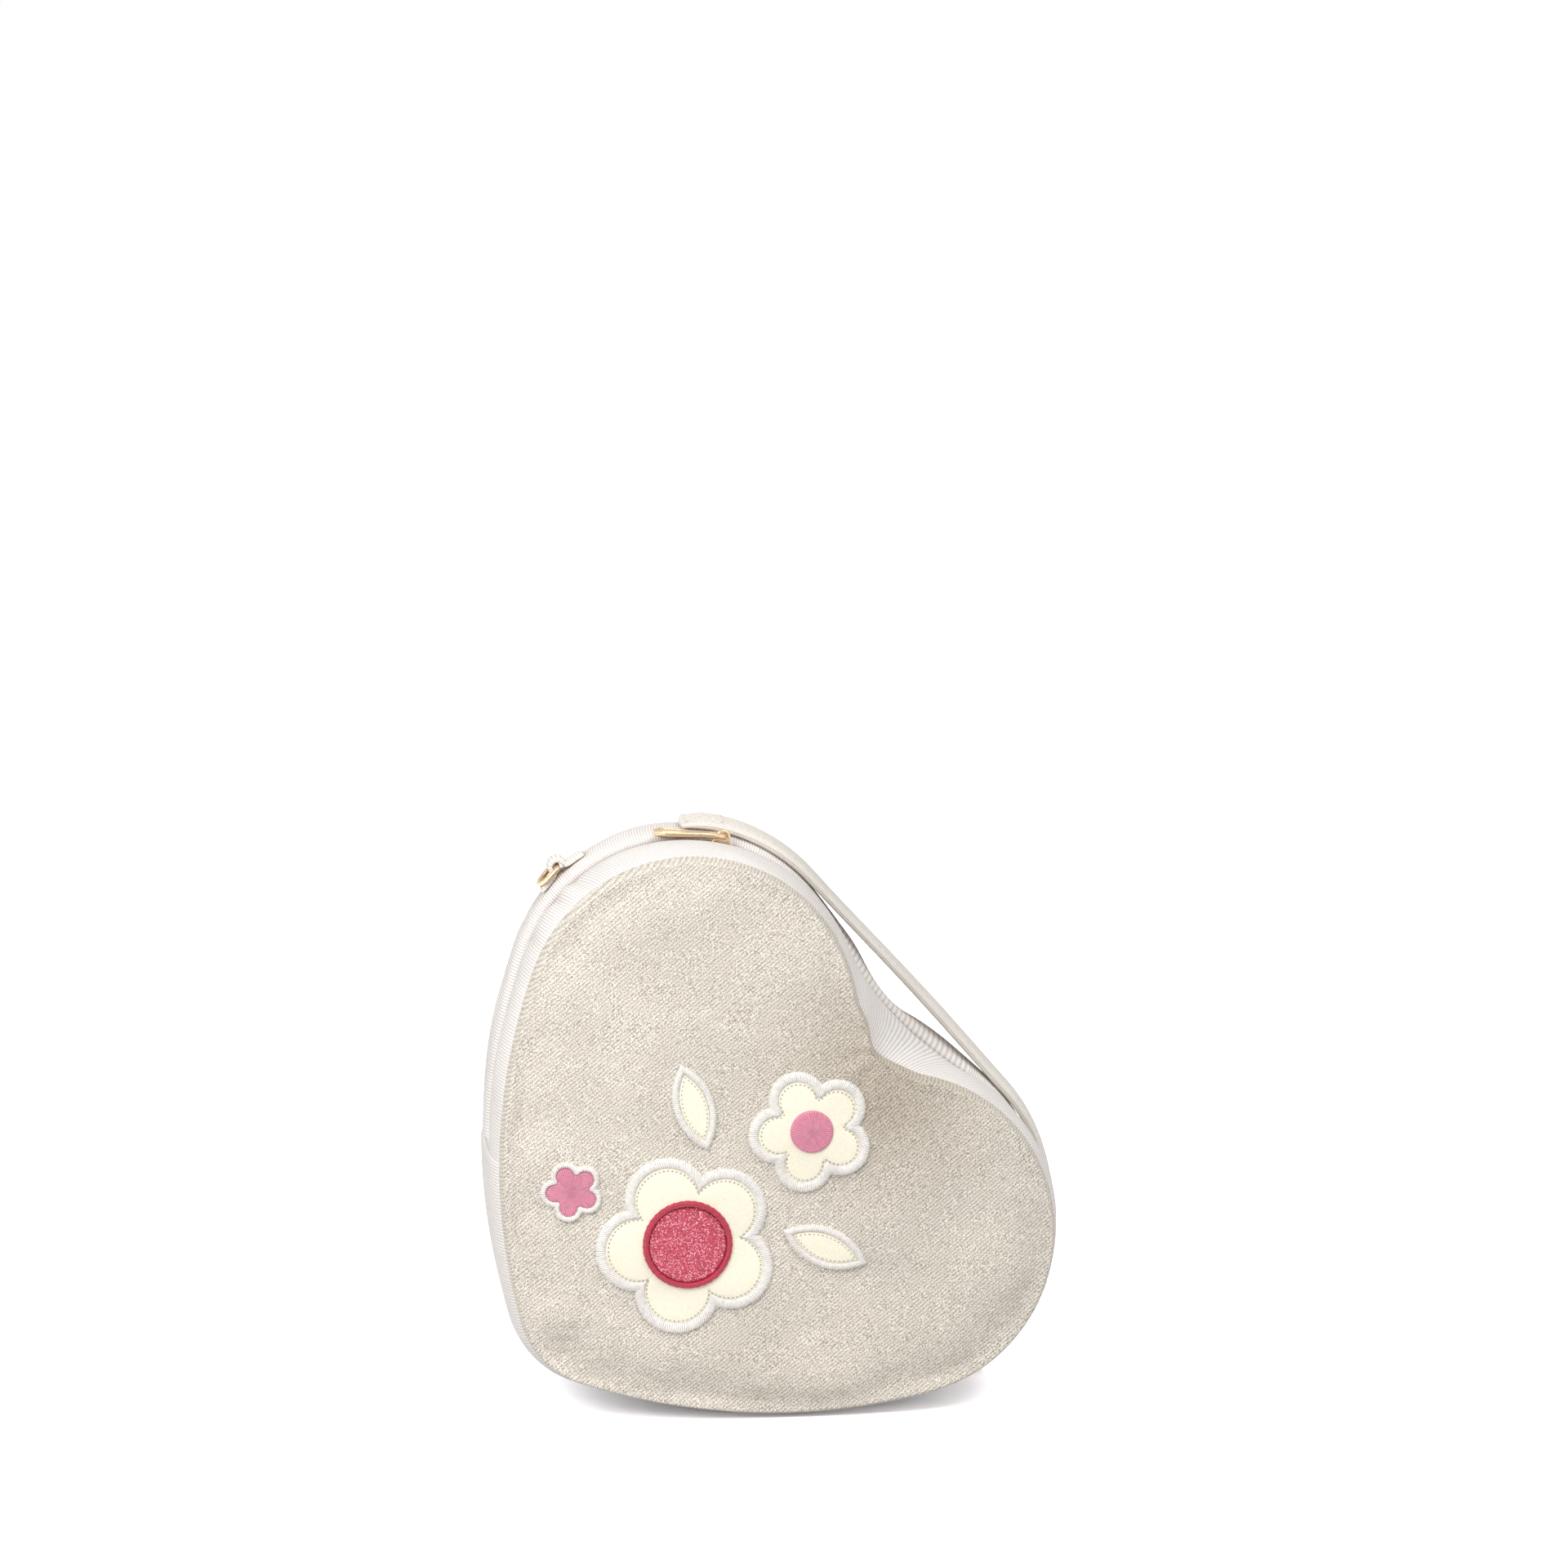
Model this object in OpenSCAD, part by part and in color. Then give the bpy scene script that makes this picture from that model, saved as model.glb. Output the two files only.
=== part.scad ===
// Heart shaped zip-around handbag in ribbed velour, with a top handle and two side rings.
// Millimetres, +Z up. The front faces -Y and the zip lies in the plane y = 0.
// The heart leans over and rests on one flank. The origin is on the surface it rests on,
// under the middle of the bag.

/* [Heart] */
// Width across both lobes, seam to seam
heart_w = 220; // [208:1:224]
// Length from the tip to the tops of the lobes, seam to seam
heart_l = 176; // [166:1:190]
// Radius of each lobe
lobe_r = 58; // [56:0.5:61]
// Radius of the tip
tip_r = 30; // [24:1:34]
// Radius of each flank, from the tip to a lobe
flank_r = 210; // [180:5:300]
// Depth of the notch below the tops of the lobes, at the panel seams
notch_dip = 17; // [12:1:22]
// Depth of the notch below the tops of the lobes, along the zip
zip_notch_dip = 6.5; // [5:0.5:10]
// Lean of the heart's axis from upright
lean = 48; // [42:1:54]
// How far the band's crest is pressed flat where the bag rests
rest_press = 2; // [1:0.1:2.4]

/* [Panels] */
// Depth of the bag between the two panel seams
bag_d = 70; // [60:1:90]
// How far each padded panel stands out past its seam
crown_h = 6.5; // [5:0.5:9]
// Thickness of the velour skin of a panel
skin_t = 1.2; // [0.8:0.1:1.6]
// Thickness of the stiffening board behind a panel
board_t = 1.8; // [1.2:0.1:2.6]
// Thickness of the lining cloth
lining_t = 0.8; // [0.6:0.1:1.2]

/* [Band] */
// Thickness of the band at the seams
band_t = 2.4; // [2:0.1:3]
// How far the band's crest swells past the seams
band_bulge = 3; // [2.6:0.1:4]
// Height of the zip's ends above the tip, along the heart's axis
zip_end_h = 34; // [30:1:40]

/* [Zip] */
// Gap between the rolled edges of the band, over the zip
zip_gap = 8.4; // [8.2:0.1:9.4]
// Width of each tape, from the teeth to its sewn edge
tape_w = 11; // [9:0.5:13]
// Thickness of the tape
tape_t = 0.6; // [0.4:0.1:0.8]
// Distance from one tooth to the next on the same tape
tooth_pitch = 4; // [3.8:0.1:5]
// Width of a tooth along the zip
tooth_w = 1.4; // [1:0.1:1.5]
// Length of a tooth across the zip
tooth_l = 3.1; // [2.6:0.1:3.3]
// Height of a tooth out from the bag
tooth_h = 2.4; // [2:0.1:2.8]
// Distance between the two tapes' edges
tape_gap = 3.8; // [3.6:0.1:4.2]
// Place of the slider round the left lobe, counted from the lobe's right
slider_angle = 124; // [110:1:140]
// Length of the slider
slider_l = 10; // [8:0.5:12]
// Width of the slider
slider_w = 7.4; // [6.6:0.1:7.6]
// Thickness of the slider's plate
slider_t = 1; // [0.8:0.1:1.2]
// Height of the puller's pin above the slider's plate
pin_rise = 3.6; // [3.4:0.1:4.4]
// Radius of the puller's cross pin
pin_r = 0.7; // [0.6:0.05:0.8]
// Length of the puller from its pin to its rounded end
puller_l = 25; // [22:1:30]
// Width of the puller's rounded end
puller_w = 10; // [8:0.5:10]
// Thickness of the puller
puller_t = 1.8; // [1.4:0.1:2]
// How far the lying puller dips from the tangent at the slider
puller_dip = 10; // [8:0.5:11]

/* [Handle] */
// Width of the handle's strap
handle_w = 16; // [12:0.5:18]
// Thickness of the strap
handle_t = 3.6; // [2.4:0.2:5]
// Where the strap ends on each lobe, counted up from the lobe's outer side
handle_end_angle = 42; // [38:1:60]

/* [Rings] */
// Width of each ring, between the middles of its wire
ring_w = 14; // [12:0.5:15]
// Thickness of the ring's wire
wire_d = 2; // [1.6:0.1:2.4]
// Radius of the ring's two corners
ring_corner_r = 2; // [1.5:0.1:2.5]
// Thickness of the cloth tab that holds the ring
tab_t = 1.6; // [1.2:0.1:2]
// Length of the tab's sewn foot along the band
tab_l = 20; // [16:1:26]

/* [Flowers] */
// Radius of the large blossom
large_r = 32; // [26:1:33]
// Radius of the medium blossom
medium_r = 22; // [18:1:23]
// Radius of the small blossom
small_r = 11; // [8:0.5:12]
// Length of each leaf
leaf_l = 34; // [26:1:36]
// Width of the stitched border
border_w = 3.6; // [2.4:0.2:4]
// Thickness of a felt patch
patch_t = 1; // [0.8:0.1:1.4]
// Thickness of a stitched border
border_t = 1.5; // [1.2:0.1:2]

/* [Hidden] */
$fn = 48;

front = -1;
back = 1;
half_d = bag_d/2;
// Clearance between pieces that move past each other
run_gap = 0.3;
// Ease between cloths that lie on each other
ease = 0.2;

// Colours, as they look in even light
velour = "#cbc3b8";
velour_side = "#e3dcd5";
foam = "#efe9dc";
card = "#d9cfbd";
satin_cloth = "#e9e2da";
tape_cloth = "#d8cfc6";
pale_gold = "#d9bd8c";
cream_felt = "#fdf8e2";
white_thread = "#f4f1ea";
crimson = "#b0213f";
rose = "#d8829b";

// Outline of the heart: arcs of the tip, flank, lobe and notch, in its own plane, tip at 0, 0
lobe_c = [heart_w/2 - lobe_r, heart_l - lobe_r];
tip_c = [0, tip_r];
chord = lobe_c - tip_c;
chord_l = norm(chord);
chord_dir = chord/chord_l;
to_tip = flank_r - tip_r;
to_lobe = flank_r - lobe_r;
along_chord = (to_tip*to_tip - to_lobe*to_lobe + chord_l*chord_l)/(2*chord_l);
off_chord = sqrt(to_tip*to_tip - along_chord*along_chord);
flank_c = tip_c + chord_dir*along_chord + [-chord_dir.y, chord_dir.x]*off_chord;
flank_start = bearing(tip_c - flank_c);
flank_end = bearing(lobe_c - flank_c);
zip_start = asin((zip_end_h - flank_c.y)/flank_r);

// Steps of each arc: the tip, the flank below and above the zip's end, the lobe and the notch
tip_steps = 3;
low_steps = 3;
high_steps = 4;
lobe_steps = 17;
notch_steps = 4;
end_station = tip_steps + low_steps;
last_station = end_station + high_steps + lobe_steps + notch_steps;
station_count = 2*last_station;

function bearing(v) = atan2(v.y, v.x);
function blend(a, b, share) = a + (b - a)*share;
function flip(p) = [-p.x, p.y];

// Stations along an arc, leaving out its first one, which the arc before it holds
function arc(c, r, from, to, steps) =
  [for (i = [1:steps]) let (a = blend(from, to, i/steps)) c + r*[cos(a), sin(a)]];

// The notch is deep at the seams and shallow at the zip, where the tape bridges the lobes.
// On the back it stays shallow for longer
front_notch_power = 1.6;
back_notch_power = 3.2;
lip_y = zip_gap/2;
function dip_at(side, y) =
  let (power = side == front ? front_notch_power : back_notch_power)
  y <= lip_y
    ? zip_notch_dip
    : blend(zip_notch_dip, notch_dip, pow((min(y, half_d) - lip_y)/(half_d - lip_y), power));
function notch_r(dip) = (lobe_c.x*lobe_c.x + dip*dip)/(2*dip) - lobe_r;

// Right half of the outline moved out by a distance, as it is on a side at depth y
function half_outline(out, side, y) =
  let (
    dip = dip_at(side, y),
    r = notch_r(dip),
    notch_c = [0, heart_l - dip + r],
    lobe_end = bearing(notch_c - lobe_c)
  )
  concat(
    [tip_c - [0, tip_r + out]],
    arc(tip_c, tip_r + out, -90, flank_start, tip_steps),
    arc(flank_c, flank_r + out, flank_start, zip_start, low_steps),
    arc(flank_c, flank_r + out, zip_start, flank_end, high_steps),
    arc(lobe_c, lobe_r + out, flank_end, lobe_end, lobe_steps),
    arc(notch_c, r - out, lobe_end - 180, -90, notch_steps)
  );
function whole(half) = concat(half, [for (i = [last_station - 1:-1:1]) flip(half[i])]);

// Middle line of the heart, from the tip's centre to the lobes' centres, one point a station
flank_steps = low_steps + high_steps;
function half_middle() = concat(
  [for (i = [0:tip_steps]) tip_c],
  [for (i = [1:flank_steps]) blend(tip_c, lobe_c, i/flank_steps)],
  [for (i = [1:lobe_steps]) lobe_c],
  [for (i = [1:notch_steps]) blend(lobe_c, [0, lobe_c.y], i/notch_steps)]
);

// A closed ring of points at depth y: moved out by a distance, drawn in by a share to the middle line,
// or drawn in to one point inside the triangle that the middle line leaves open
function level(points, y) = [for (p = points) [p.x, y, p.y]];
function ring_out(out, side, y) = level(whole(half_outline(out, side, y)), side*y);
function ring_in(out, share, side, y) =
  let (edge = half_outline(out, side, half_d), middle = half_middle())
  level(whole([for (i = [0:last_station]) blend(edge[i], middle[i], share)]), side*y);
middle_share = 2/3;
heart_middle = blend(tip_c, [0, lobe_c.y], middle_share);
function ring_shut(side, y) =
  [for (i = [1:station_count]) [heart_middle.x, side*y, heart_middle.y]];

// A solid through a list of rings, whose first and last rings are shut
module loft(rings) {
  n = len(rings[0]);
  points = [for (ring = rings) each ring];
  tiny = 1e-6;
  function apart(t) =
    norm(points[t[0]] - points[t[1]]) > tiny
    && norm(points[t[1]] - points[t[2]]) > tiny
    && norm(points[t[2]] - points[t[0]]) > tiny;
  faces = [
    for (k = [0:len(rings) - 2], i = [0:n - 1])
      let (j = (i + 1)%n, a = k*n, b = (k + 1)*n)
      each [[a + i, a + j, b + j], [a + i, b + j, b + i]]
  ];
  polyhedron([for (p = points) p], [for (t = faces) if (apart(t)) t]);
}

// A solid through a list of equal loops, closed by a flat face at each end
module sweep(loops) {
  n = len(loops[0]);
  last = len(loops) - 1;
  faces = concat(
    [for (k = [0:last - 1], i = [0:n - 1])
      let (j = (i + 1)%n, a = k*n, b = (k + 1)*n)
      each [[a + i, a + j, b + j], [a + i, b + j, b + i]]],
    [[0, for (i = [n - 1:-1:1]) i]],
    [[for (i = [0:n - 1]) last*n + i]]
  );
  polyhedron([for (l = loops) each l], faces);
}

// Pose of the heart: it leans, its crest is pressed on the floor, and its footprint is centred
down = [sin(lean), -cos(lean)];
right = [cos(lean), sin(lean)];
handle_seat = 1.3;
handle_top = band_bulge + handle_seat + handle_t;
tip_z = flank_c*down + flank_r + band_bulge - rest_press;
left_x = flip(flank_c)*right - flank_r - band_bulge;
right_x = lobe_c*right + lobe_r + handle_top;
tip_x = -(left_x + right_x)/2;
module posed() translate([tip_x, 0, tip_z]) rotate([0, lean, 0]) children();

// A point of the band that would be under the floor is pressed up to it
function height(p) = tip_z - [p.x, p.z]*down;
function pressed(p) = let (h = height(p)) h < 0 ? p + [down.x, 0, down.y]*h : p;

// Extrudes a shape of the heart's plane from depth y0 back to depth y1
module slab(y0, y1) translate([0, y1, 0]) rotate([90, 0, 0]) linear_extrude(y1 - y0) children();

// Frame on a lobe: z points out of the bag, x goes clockwise round the lobe, z = 0 at its centre
module on_lobe(side, angle)
  translate([side*lobe_c.x, 0, lobe_c.y]) rotate([0, 90 - angle, 0]) children();

// Crown of a panel: how far each ring is drawn in, and its share of the crown's height
crown_shares = [[0, 0], [0.03, 0.5], [0.075, 0.83], [0.15, 1]];
function crown(out, side, h) = concat(
  [ring_shut(side, half_d + h), ring_in(out, 1, side, half_d + h)],
  [for (i = [len(crown_shares) - 1:-1:0])
    ring_in(out, crown_shares[i][0], side, half_d + h*crown_shares[i][1])]
);
function reversed(list) = [for (i = [len(list) - 1:-1:0]) list[i]];

module panel(side)
  loft(concat(crown(0, side, crown_h), reversed(crown(-skin_t, side, crown_h - skin_t))));

module padding(side) {
  under = skin_t + ease;
  loft(concat(
    crown(-under, side, crown_h - under),
    [ring_in(-under, 1, side, half_d), ring_shut(side, half_d)]
  ));
}

module board(side) {
  out = -band_t - ease;
  loft([
    ring_shut(side, half_d),
    ring_in(out, 1, side, half_d),
    ring_in(out, 0, side, half_d),
    ring_in(out, 0, side, half_d - board_t),
    ring_in(out, 1, side, half_d - board_t),
    ring_shut(side, half_d - board_t)
  ]);
}

// The lining is a heart shaped tray, sewn behind the tape's edge. Where the notch deepens, its walls
// and the band's inner face bend at the same depths
tape_edge = tape_gap/2 + tape_w;
tape_out = -band_t - ease;
lining_rim = lip_y + tape_t;
floor_y = half_d - board_t;
bend_y = (tape_edge + floor_y)/2;
module lining(side) {
  out = tape_out - tape_t - ease;
  loft([
    ring_shut(side, floor_y),
    ring_in(out, 1, side, floor_y),
    ring_out(out, side, floor_y),
    ring_out(out, side, bend_y),
    ring_out(out, side, tape_edge),
    ring_out(out, side, lining_rim),
    ring_out(out - lining_t, side, lining_rim),
    ring_out(out - lining_t, side, tape_edge),
    ring_out(out - lining_t, side, bend_y),
    ring_out(out - lining_t, side, floor_y - lining_t),
    ring_in(out - lining_t, 1, side, floor_y - lining_t),
    ring_shut(side, floor_y - lining_t)
  ]);
}

// Outer face of the band from the seam to its edge: shares of the bulge and of the way there
band_shares = [[0, 0], [0.57, 0.16], [0.9, 0.36], [1, 0.58], [0.93, 0.81], [0.67, 0.94], [0.2, 1]];
spine_shares = [[0, 0], [0.57, 0.16], [0.9, 0.36], [1, 0.58], [1, 1]];
function profile(shares, edge_y) = concat(
  [for (s = shares) [band_bulge*s[0], blend(half_d, edge_y, s[1])]],
  [for (y = [edge_y, tape_edge, bend_y, floor_y, half_d]) [-band_t, y]]
);

// Sweeps a profile of [out, depth] points along the stations of the outline
module run(profile, side, stations) {
  rings = [for (p = profile) ring_out(p.x, side, p.y)];
  sweep([for (i = stations) [for (ring = rings) pressed(ring[i%station_count])]]);
}
zipped = [for (i = [end_station:station_count - end_station]) i];
unzipped = [for (i = [station_count - end_station:station_count + end_station]) i];

module band(side) run(profile(band_shares, lip_y), side, zipped);
module spine(side) run(profile(spine_shares, run_gap/2), side, unzipped);

module zip_tape(side) run([
  [tape_out, lip_y], [tape_out, tape_gap/2], [tape_out - tape_t, tape_gap/2],
  [tape_out - tape_t, lip_y], [tape_out - tape_t, tape_edge], [tape_out, tape_edge]
], side, zipped);

// Teeth stand on both faces of the tape, and the two rows mesh half a pitch apart
tooth_out = tape_out - tape_t/2;
stop_l = 3;
zip_notch_r = notch_r(zip_notch_dip);
zip_notch_c = [0, heart_l - zip_notch_dip + zip_notch_r];
zip_lobe_end = bearing(zip_notch_c - lobe_c);
stop_angle = zip_start + stop_l/flank_r*180/PI;
teeth_from = zip_start + 2*stop_l/flank_r*180/PI;
module tooth_at(c, r, angle) translate(c + r*[cos(angle), sin(angle)]) rotate(angle)
  square([tooth_h, tooth_w], center = true);
module tooth_arc(c, r, from, to, first) {
  pairs = round(abs(to - from)*PI/180*r/tooth_pitch);
  for (i = [first:2:2*pairs - 1]) tooth_at(c, r, blend(from, to, (i + 0.5)/(2*pairs)));
}
module half_row(first) {
  tooth_arc(flank_c, flank_r + tooth_out, teeth_from, flank_end, first);
  tooth_arc(lobe_c, lobe_r + tooth_out, flank_end, zip_lobe_end, first);
}
module tooth_row(side) {
  first = side == front ? 0 : 1;
  half_row(first);
  mirror([1, 0]) half_row(1 - first);
  tooth_arc(zip_notch_c, zip_notch_r - tooth_out, zip_lobe_end - 180, -zip_lobe_end, first);
}
tooth_root = tape_gap/2;
tooth_tip = tooth_l - tooth_root;
module zip_teeth(side) {
  if (side == front) slab(-tooth_root, tooth_tip) tooth_row(side);
  else slab(-tooth_tip, tooth_root) tooth_row(side);
}
module stop_at(angle) translate(flank_c + (flank_r + tooth_out)*[cos(angle), sin(angle)])
  rotate(angle) square([tooth_h, stop_l], center = true);
module zip_stops(side) {
  inner = run_gap/2;
  y0 = side == front ? -tooth_root : inner;
  slab(y0, y0 + tooth_root - inner) {
    stop_at(stop_angle);
    mirror([1, 0]) stop_at(stop_angle);
  }
}

// The slider's plate rides on the teeth, and its bridge holds the puller's pin
plate_in = tooth_out + tooth_h/2 + run_gap;
plate_out = plate_in + slider_t;
bridge_t = 1.8;
bridge_wall = 1;
hole_r = pin_r + run_gap;
pin_out = plate_out + pin_rise;
plan_shares = [[-1, -0.7], [-0.2, -1], [1, -1], [1, 1], [-0.2, 1], [-1, 0.7]];
foot_share = 0.38;
slope_share = 0.6;
bridge_foot = slider_l*foot_share;
overrun = 5;
module slider_plan() polygon([for (s = plan_shares) [s.x*slider_l/2, s.y*slider_w/2]]);
module bridge_outline() {
  top = hole_r + bridge_wall;
  low = plate_in + slider_t/2;
  bend = plate_out + bridge_wall/2;
  polygon([
    [-bridge_foot, low], [bridge_foot, low], [bridge_foot, bend],
    [top, pin_out + top*slope_share], [top/2, pin_out + top], [-top/2, pin_out + top],
    [-top, pin_out + top*slope_share], [-bridge_foot, bend]
  ]);
}
module zip_slider_body() on_lobe(-1, slider_angle) {
  intersection() {
    rotate([90, 0, 0]) difference() {
      cylinder(r = lobe_r + plate_out, h = slider_w, center = true, $fn = 180);
      cylinder(r = lobe_r + plate_in, h = slider_w + overrun, center = true, $fn = 180);
    }
    translate([0, 0, lobe_r - slider_l/2]) linear_extrude(slider_l + overrun) slider_plan();
  }
  translate([0, bridge_t/2, lobe_r]) rotate([90, 0, 0]) linear_extrude(bridge_t) difference() {
    bridge_outline();
    translate([0, pin_out]) circle(hole_r);
  }
}

// The puller lies left of the slider: x runs along it, from its pin
arm_in = bridge_t/2 + run_gap;
arm_w = 1.6;
neck_w = 2*(arm_in + arm_w);
neck_l = bridge_foot + arm_w;
rim_w = 0.9;
recess_l = puller_w*4/3;
recess_t = puller_t/5;
module tongue(inset) hull() {
  translate([neck_l + neck_w/2, 0]) circle(neck_w/2 - inset);
  translate([puller_l - puller_w/2, 0]) circle(puller_w/2 - inset);
}
module puller_shape() {
  rotate([90, 0, 0]) cylinder(r = pin_r, h = neck_w, center = true);
  for (s = [-1, 1]) translate([0, s*(arm_in + arm_w/2), 0]) {
    rotate([90, 0, 0]) cylinder(r = puller_t/2, h = arm_w, center = true);
    translate([0, -arm_w/2, -puller_t/2]) cube([neck_l + neck_w/2, arm_w, puller_t]);
  }
  difference() {
    translate([0, 0, -puller_t/2]) linear_extrude(puller_t) difference() {
      tongue(0);
      translate([0, -neck_w/2]) square([neck_l, neck_w]);
    }
    translate([0, 0, puller_t/2 - recess_t]) linear_extrude(overrun) intersection() {
      tongue(rim_w);
      translate([puller_l - recess_l, -puller_w/2]) square([recess_l, puller_w]);
    }
  }
}
module zip_puller_body() on_lobe(-1, slider_angle) translate([0, 0, lobe_r + pin_out])
  rotate([0, -puller_dip, 0]) mirror([1, 0, 0]) puller_shape();

// The strap lies on the back band round both lobes and runs straight across the notch
beside_puller = puller_w/2 + 2*run_gap;
handle_edge = 0.8;
handle_steps = 7;
handle_end_share = 0.45;
handle_low_share = 0.93;
function handle_path(out) =
  let (lobe = [for (i = [0:handle_steps])
    let (a = blend(handle_end_angle, 90, i/handle_steps)) lobe_c + (lobe_r + out)*[cos(a), sin(a)]])
  concat(lobe, [for (p = reversed(lobe)) flip(p)]);
// The strap's section as [depth, out] points, tilted with the band that carries it
function handle_section(t) =
  let (
    y0 = beside_puller, y1 = y0 + handle_w, e = min(handle_edge, t/3),
    low = band_bulge*handle_low_share, high = band_bulge + handle_seat,
    seat = function (y) low + (high - low)*(y - y0)/handle_w
  )
  [
    [y0 + e, seat(y0)], [y1 - e, seat(y1)], [y1, seat(y1) + e], [y1, seat(y1) + t - e],
    [y1 - e, seat(y1) + t], [y0 + e, seat(y0) + t], [y0, seat(y0) + t - e], [y0, seat(y0) + e]
  ];
module handle_strap() {
  last = 2*handle_steps + 1;
  loops = [for (i = [0:last])
    let (t = handle_t*(i == 0 || i == last ? handle_end_share : 1))
    [for (s = handle_section(t)) let (p = handle_path(s[1])[i]) [p.x, s[0], p.y]]];
  sweep(loops);
}

// Each ring hangs in the loop of a cloth tab at the widest place of a lobe
wire_r = wire_d/2;
ring_y = beside_puller + ring_w/2 + wire_r;
loop_hole_r = wire_r + run_gap + ease/2;
loop_r = loop_hole_r + tab_t;
tab_seat = band_bulge + ease/2;
ring_out_of_bag = tab_seat + tab_t + loop_hole_r;
tab_w = ring_w - 2*ring_corner_r - 2*run_gap;
// The left ring lies on its tab's foot and the right one hangs straight down
left_ring_swing = 176;
right_ring_swing = -lean;
module ring_tab(side) on_lobe(side, side > 0 ? 0 : 180) translate([0, ring_y, 0]) difference() {
  union() {
    intersection() {
      rotate([90, 0, 0]) difference() {
        cylinder(r = lobe_r + tab_seat + tab_t, h = tab_w, center = true, $fn = 180);
        cylinder(r = lobe_r + tab_seat, h = tab_w + overrun, center = true, $fn = 180);
      }
      translate([-tab_l/2, -tab_w, 0]) cube([tab_l, 2*tab_w, 2*lobe_r]);
    }
    translate([0, 0, lobe_r + ring_out_of_bag]) rotate([90, 0, 0])
      cylinder(r = loop_r, h = tab_w, center = true);
    translate([-loop_r, -tab_w/2, lobe_r + tab_seat + tab_t/2])
      cube([2*loop_r, tab_w, ring_out_of_bag - tab_seat - tab_t/2]);
  }
  translate([0, 0, lobe_r + ring_out_of_bag]) rotate([90, 0, 0])
    cylinder(r = loop_hole_r, h = tab_w + overrun, center = true);
}
// The ring's wire: a bar, two corners and a half circle, in the plane of y and x, bar on the y axis
module wire_arc(r, angle) rotate_extrude(angle = angle) translate([r, 0]) circle(wire_r);
module d_ring() {
  bar = ring_w - 2*ring_corner_r;
  rotate([90, 0, 0]) cylinder(r = wire_r, h = bar, center = true);
  for (s = [-1, 1]) scale([1, s, 1]) translate([ring_corner_r, bar/2, 0])
    rotate([0, 0, 90]) wire_arc(ring_corner_r, 90);
  translate([ring_corner_r, 0, 0]) rotate([0, 0, -90]) wire_arc(ring_w/2, 180);
}
module ring_on(side, swing) on_lobe(side, side > 0 ? 0 : 180)
  translate([0, ring_y, lobe_r + ring_out_of_bag]) rotate([0, swing, 0]) d_ring();

// Flowers of felt with stitched borders, on the flat middle of the front panel
face_y = half_d + crown_h;
large_at_shares = [0.014, 0.37];
small_at_shares = [-0.173, 0.276];
flower_gap = 4;
leaf_lean = 25;
petals = 5;
petal_share = 0.46;
large_centre_share = 0.42;
medium_centre_share = 0.34;
leaf_bow_share = 0.62;
leaf_sag_share = 0.41;
centre_border_w = border_w*0.6;
leaf_border_w = border_w*0.7;
function on_heart(shares) = [shares[0]*heart_w, shares[1]*heart_l];
large_at = on_heart(large_at_shares);
small_at = on_heart(small_at_shares);
medium_at = large_at + [0, large_r + flower_gap + medium_r];
leaf_at = [leaf_l, large_r + flower_gap/2];
module blossom_outline(r, inset) {
  petal_r = r*petal_share;
  circle(r - petal_r);
  for (i = [0:petals - 1]) rotate(90 + i*360/petals) translate([r - petal_r, 0])
    circle(petal_r - inset);
}
module leaf_outline(inset) {
  bow_r = leaf_l*leaf_bow_share;
  sag = leaf_l*leaf_sag_share;
  intersection() {
    translate([0, -sag]) circle(bow_r - inset);
    translate([0, sag]) circle(bow_r - inset);
  }
}
// Sews a shape on the front: up to a thickness, on top of what lies under it
module sewn(at, under, t) slab(-face_y - under - t, -face_y - under) translate(at) children();
module blossom(at, r) sewn(at, 0, patch_t) blossom_outline(r, border_w);
module blossom_border(at, r) sewn(at, 0, border_t) difference() {
  blossom_outline(r, 0);
  blossom_outline(r, border_w);
}
module leaf_pair(t) slab(-face_y - t, -face_y) translate(large_at) for (s = [0, 1])
  mirror([s, 0]) translate(leaf_at) rotate(leaf_lean) children();

module back_panel() color(velour) posed() panel(back);
module back_padding() color(foam) posed() padding(back);
module back_board() color(card) posed() board(back);
module back_lining() color(satin_cloth) posed() lining(back);
module back_band() color(velour_side) posed() band(back);
module back_spine() color(velour_side) posed() spine(back);
module back_zip_tape() color(tape_cloth) posed() zip_tape(back);
module back_zip_teeth() color(tape_cloth) posed() zip_teeth(back);
module back_zip_stops() color(pale_gold) posed() zip_stops(back);
module handle() color(velour_side) posed() handle_strap();
module left_ring_tab() color(velour_side) posed() ring_tab(-1);
module right_ring_tab() color(velour_side) posed() ring_tab(1);
module front_panel() color(velour) posed() panel(front);
module front_padding() color(foam) posed() padding(front);
module front_board() color(card) posed() board(front);
module front_lining() color(satin_cloth) posed() lining(front);
module front_band() color(velour_side) posed() band(front);
module front_spine() color(velour_side) posed() spine(front);
module front_zip_tape() color(tape_cloth) posed() zip_tape(front);
module front_zip_teeth() color(tape_cloth) posed() zip_teeth(front);
module front_zip_stops() color(pale_gold) posed() zip_stops(front);
module large_blossom() color(cream_felt) posed() blossom(large_at, large_r);
module large_blossom_border() color(white_thread) posed() blossom_border(large_at, large_r);
module large_blossom_centre() color(crimson) posed()
  sewn(large_at, patch_t, patch_t) circle(large_r*large_centre_share);
module large_centre_border() color(crimson) posed()
  sewn(large_at, patch_t, border_t) difference() {
    circle(large_r*large_centre_share + centre_border_w);
    circle(large_r*large_centre_share);
  }
module medium_blossom() color(cream_felt) posed() blossom(medium_at, medium_r);
module medium_blossom_border() color(white_thread) posed() blossom_border(medium_at, medium_r);
module medium_blossom_centre() color(rose) posed()
  sewn(medium_at, patch_t, patch_t) circle(medium_r*medium_centre_share);
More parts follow.
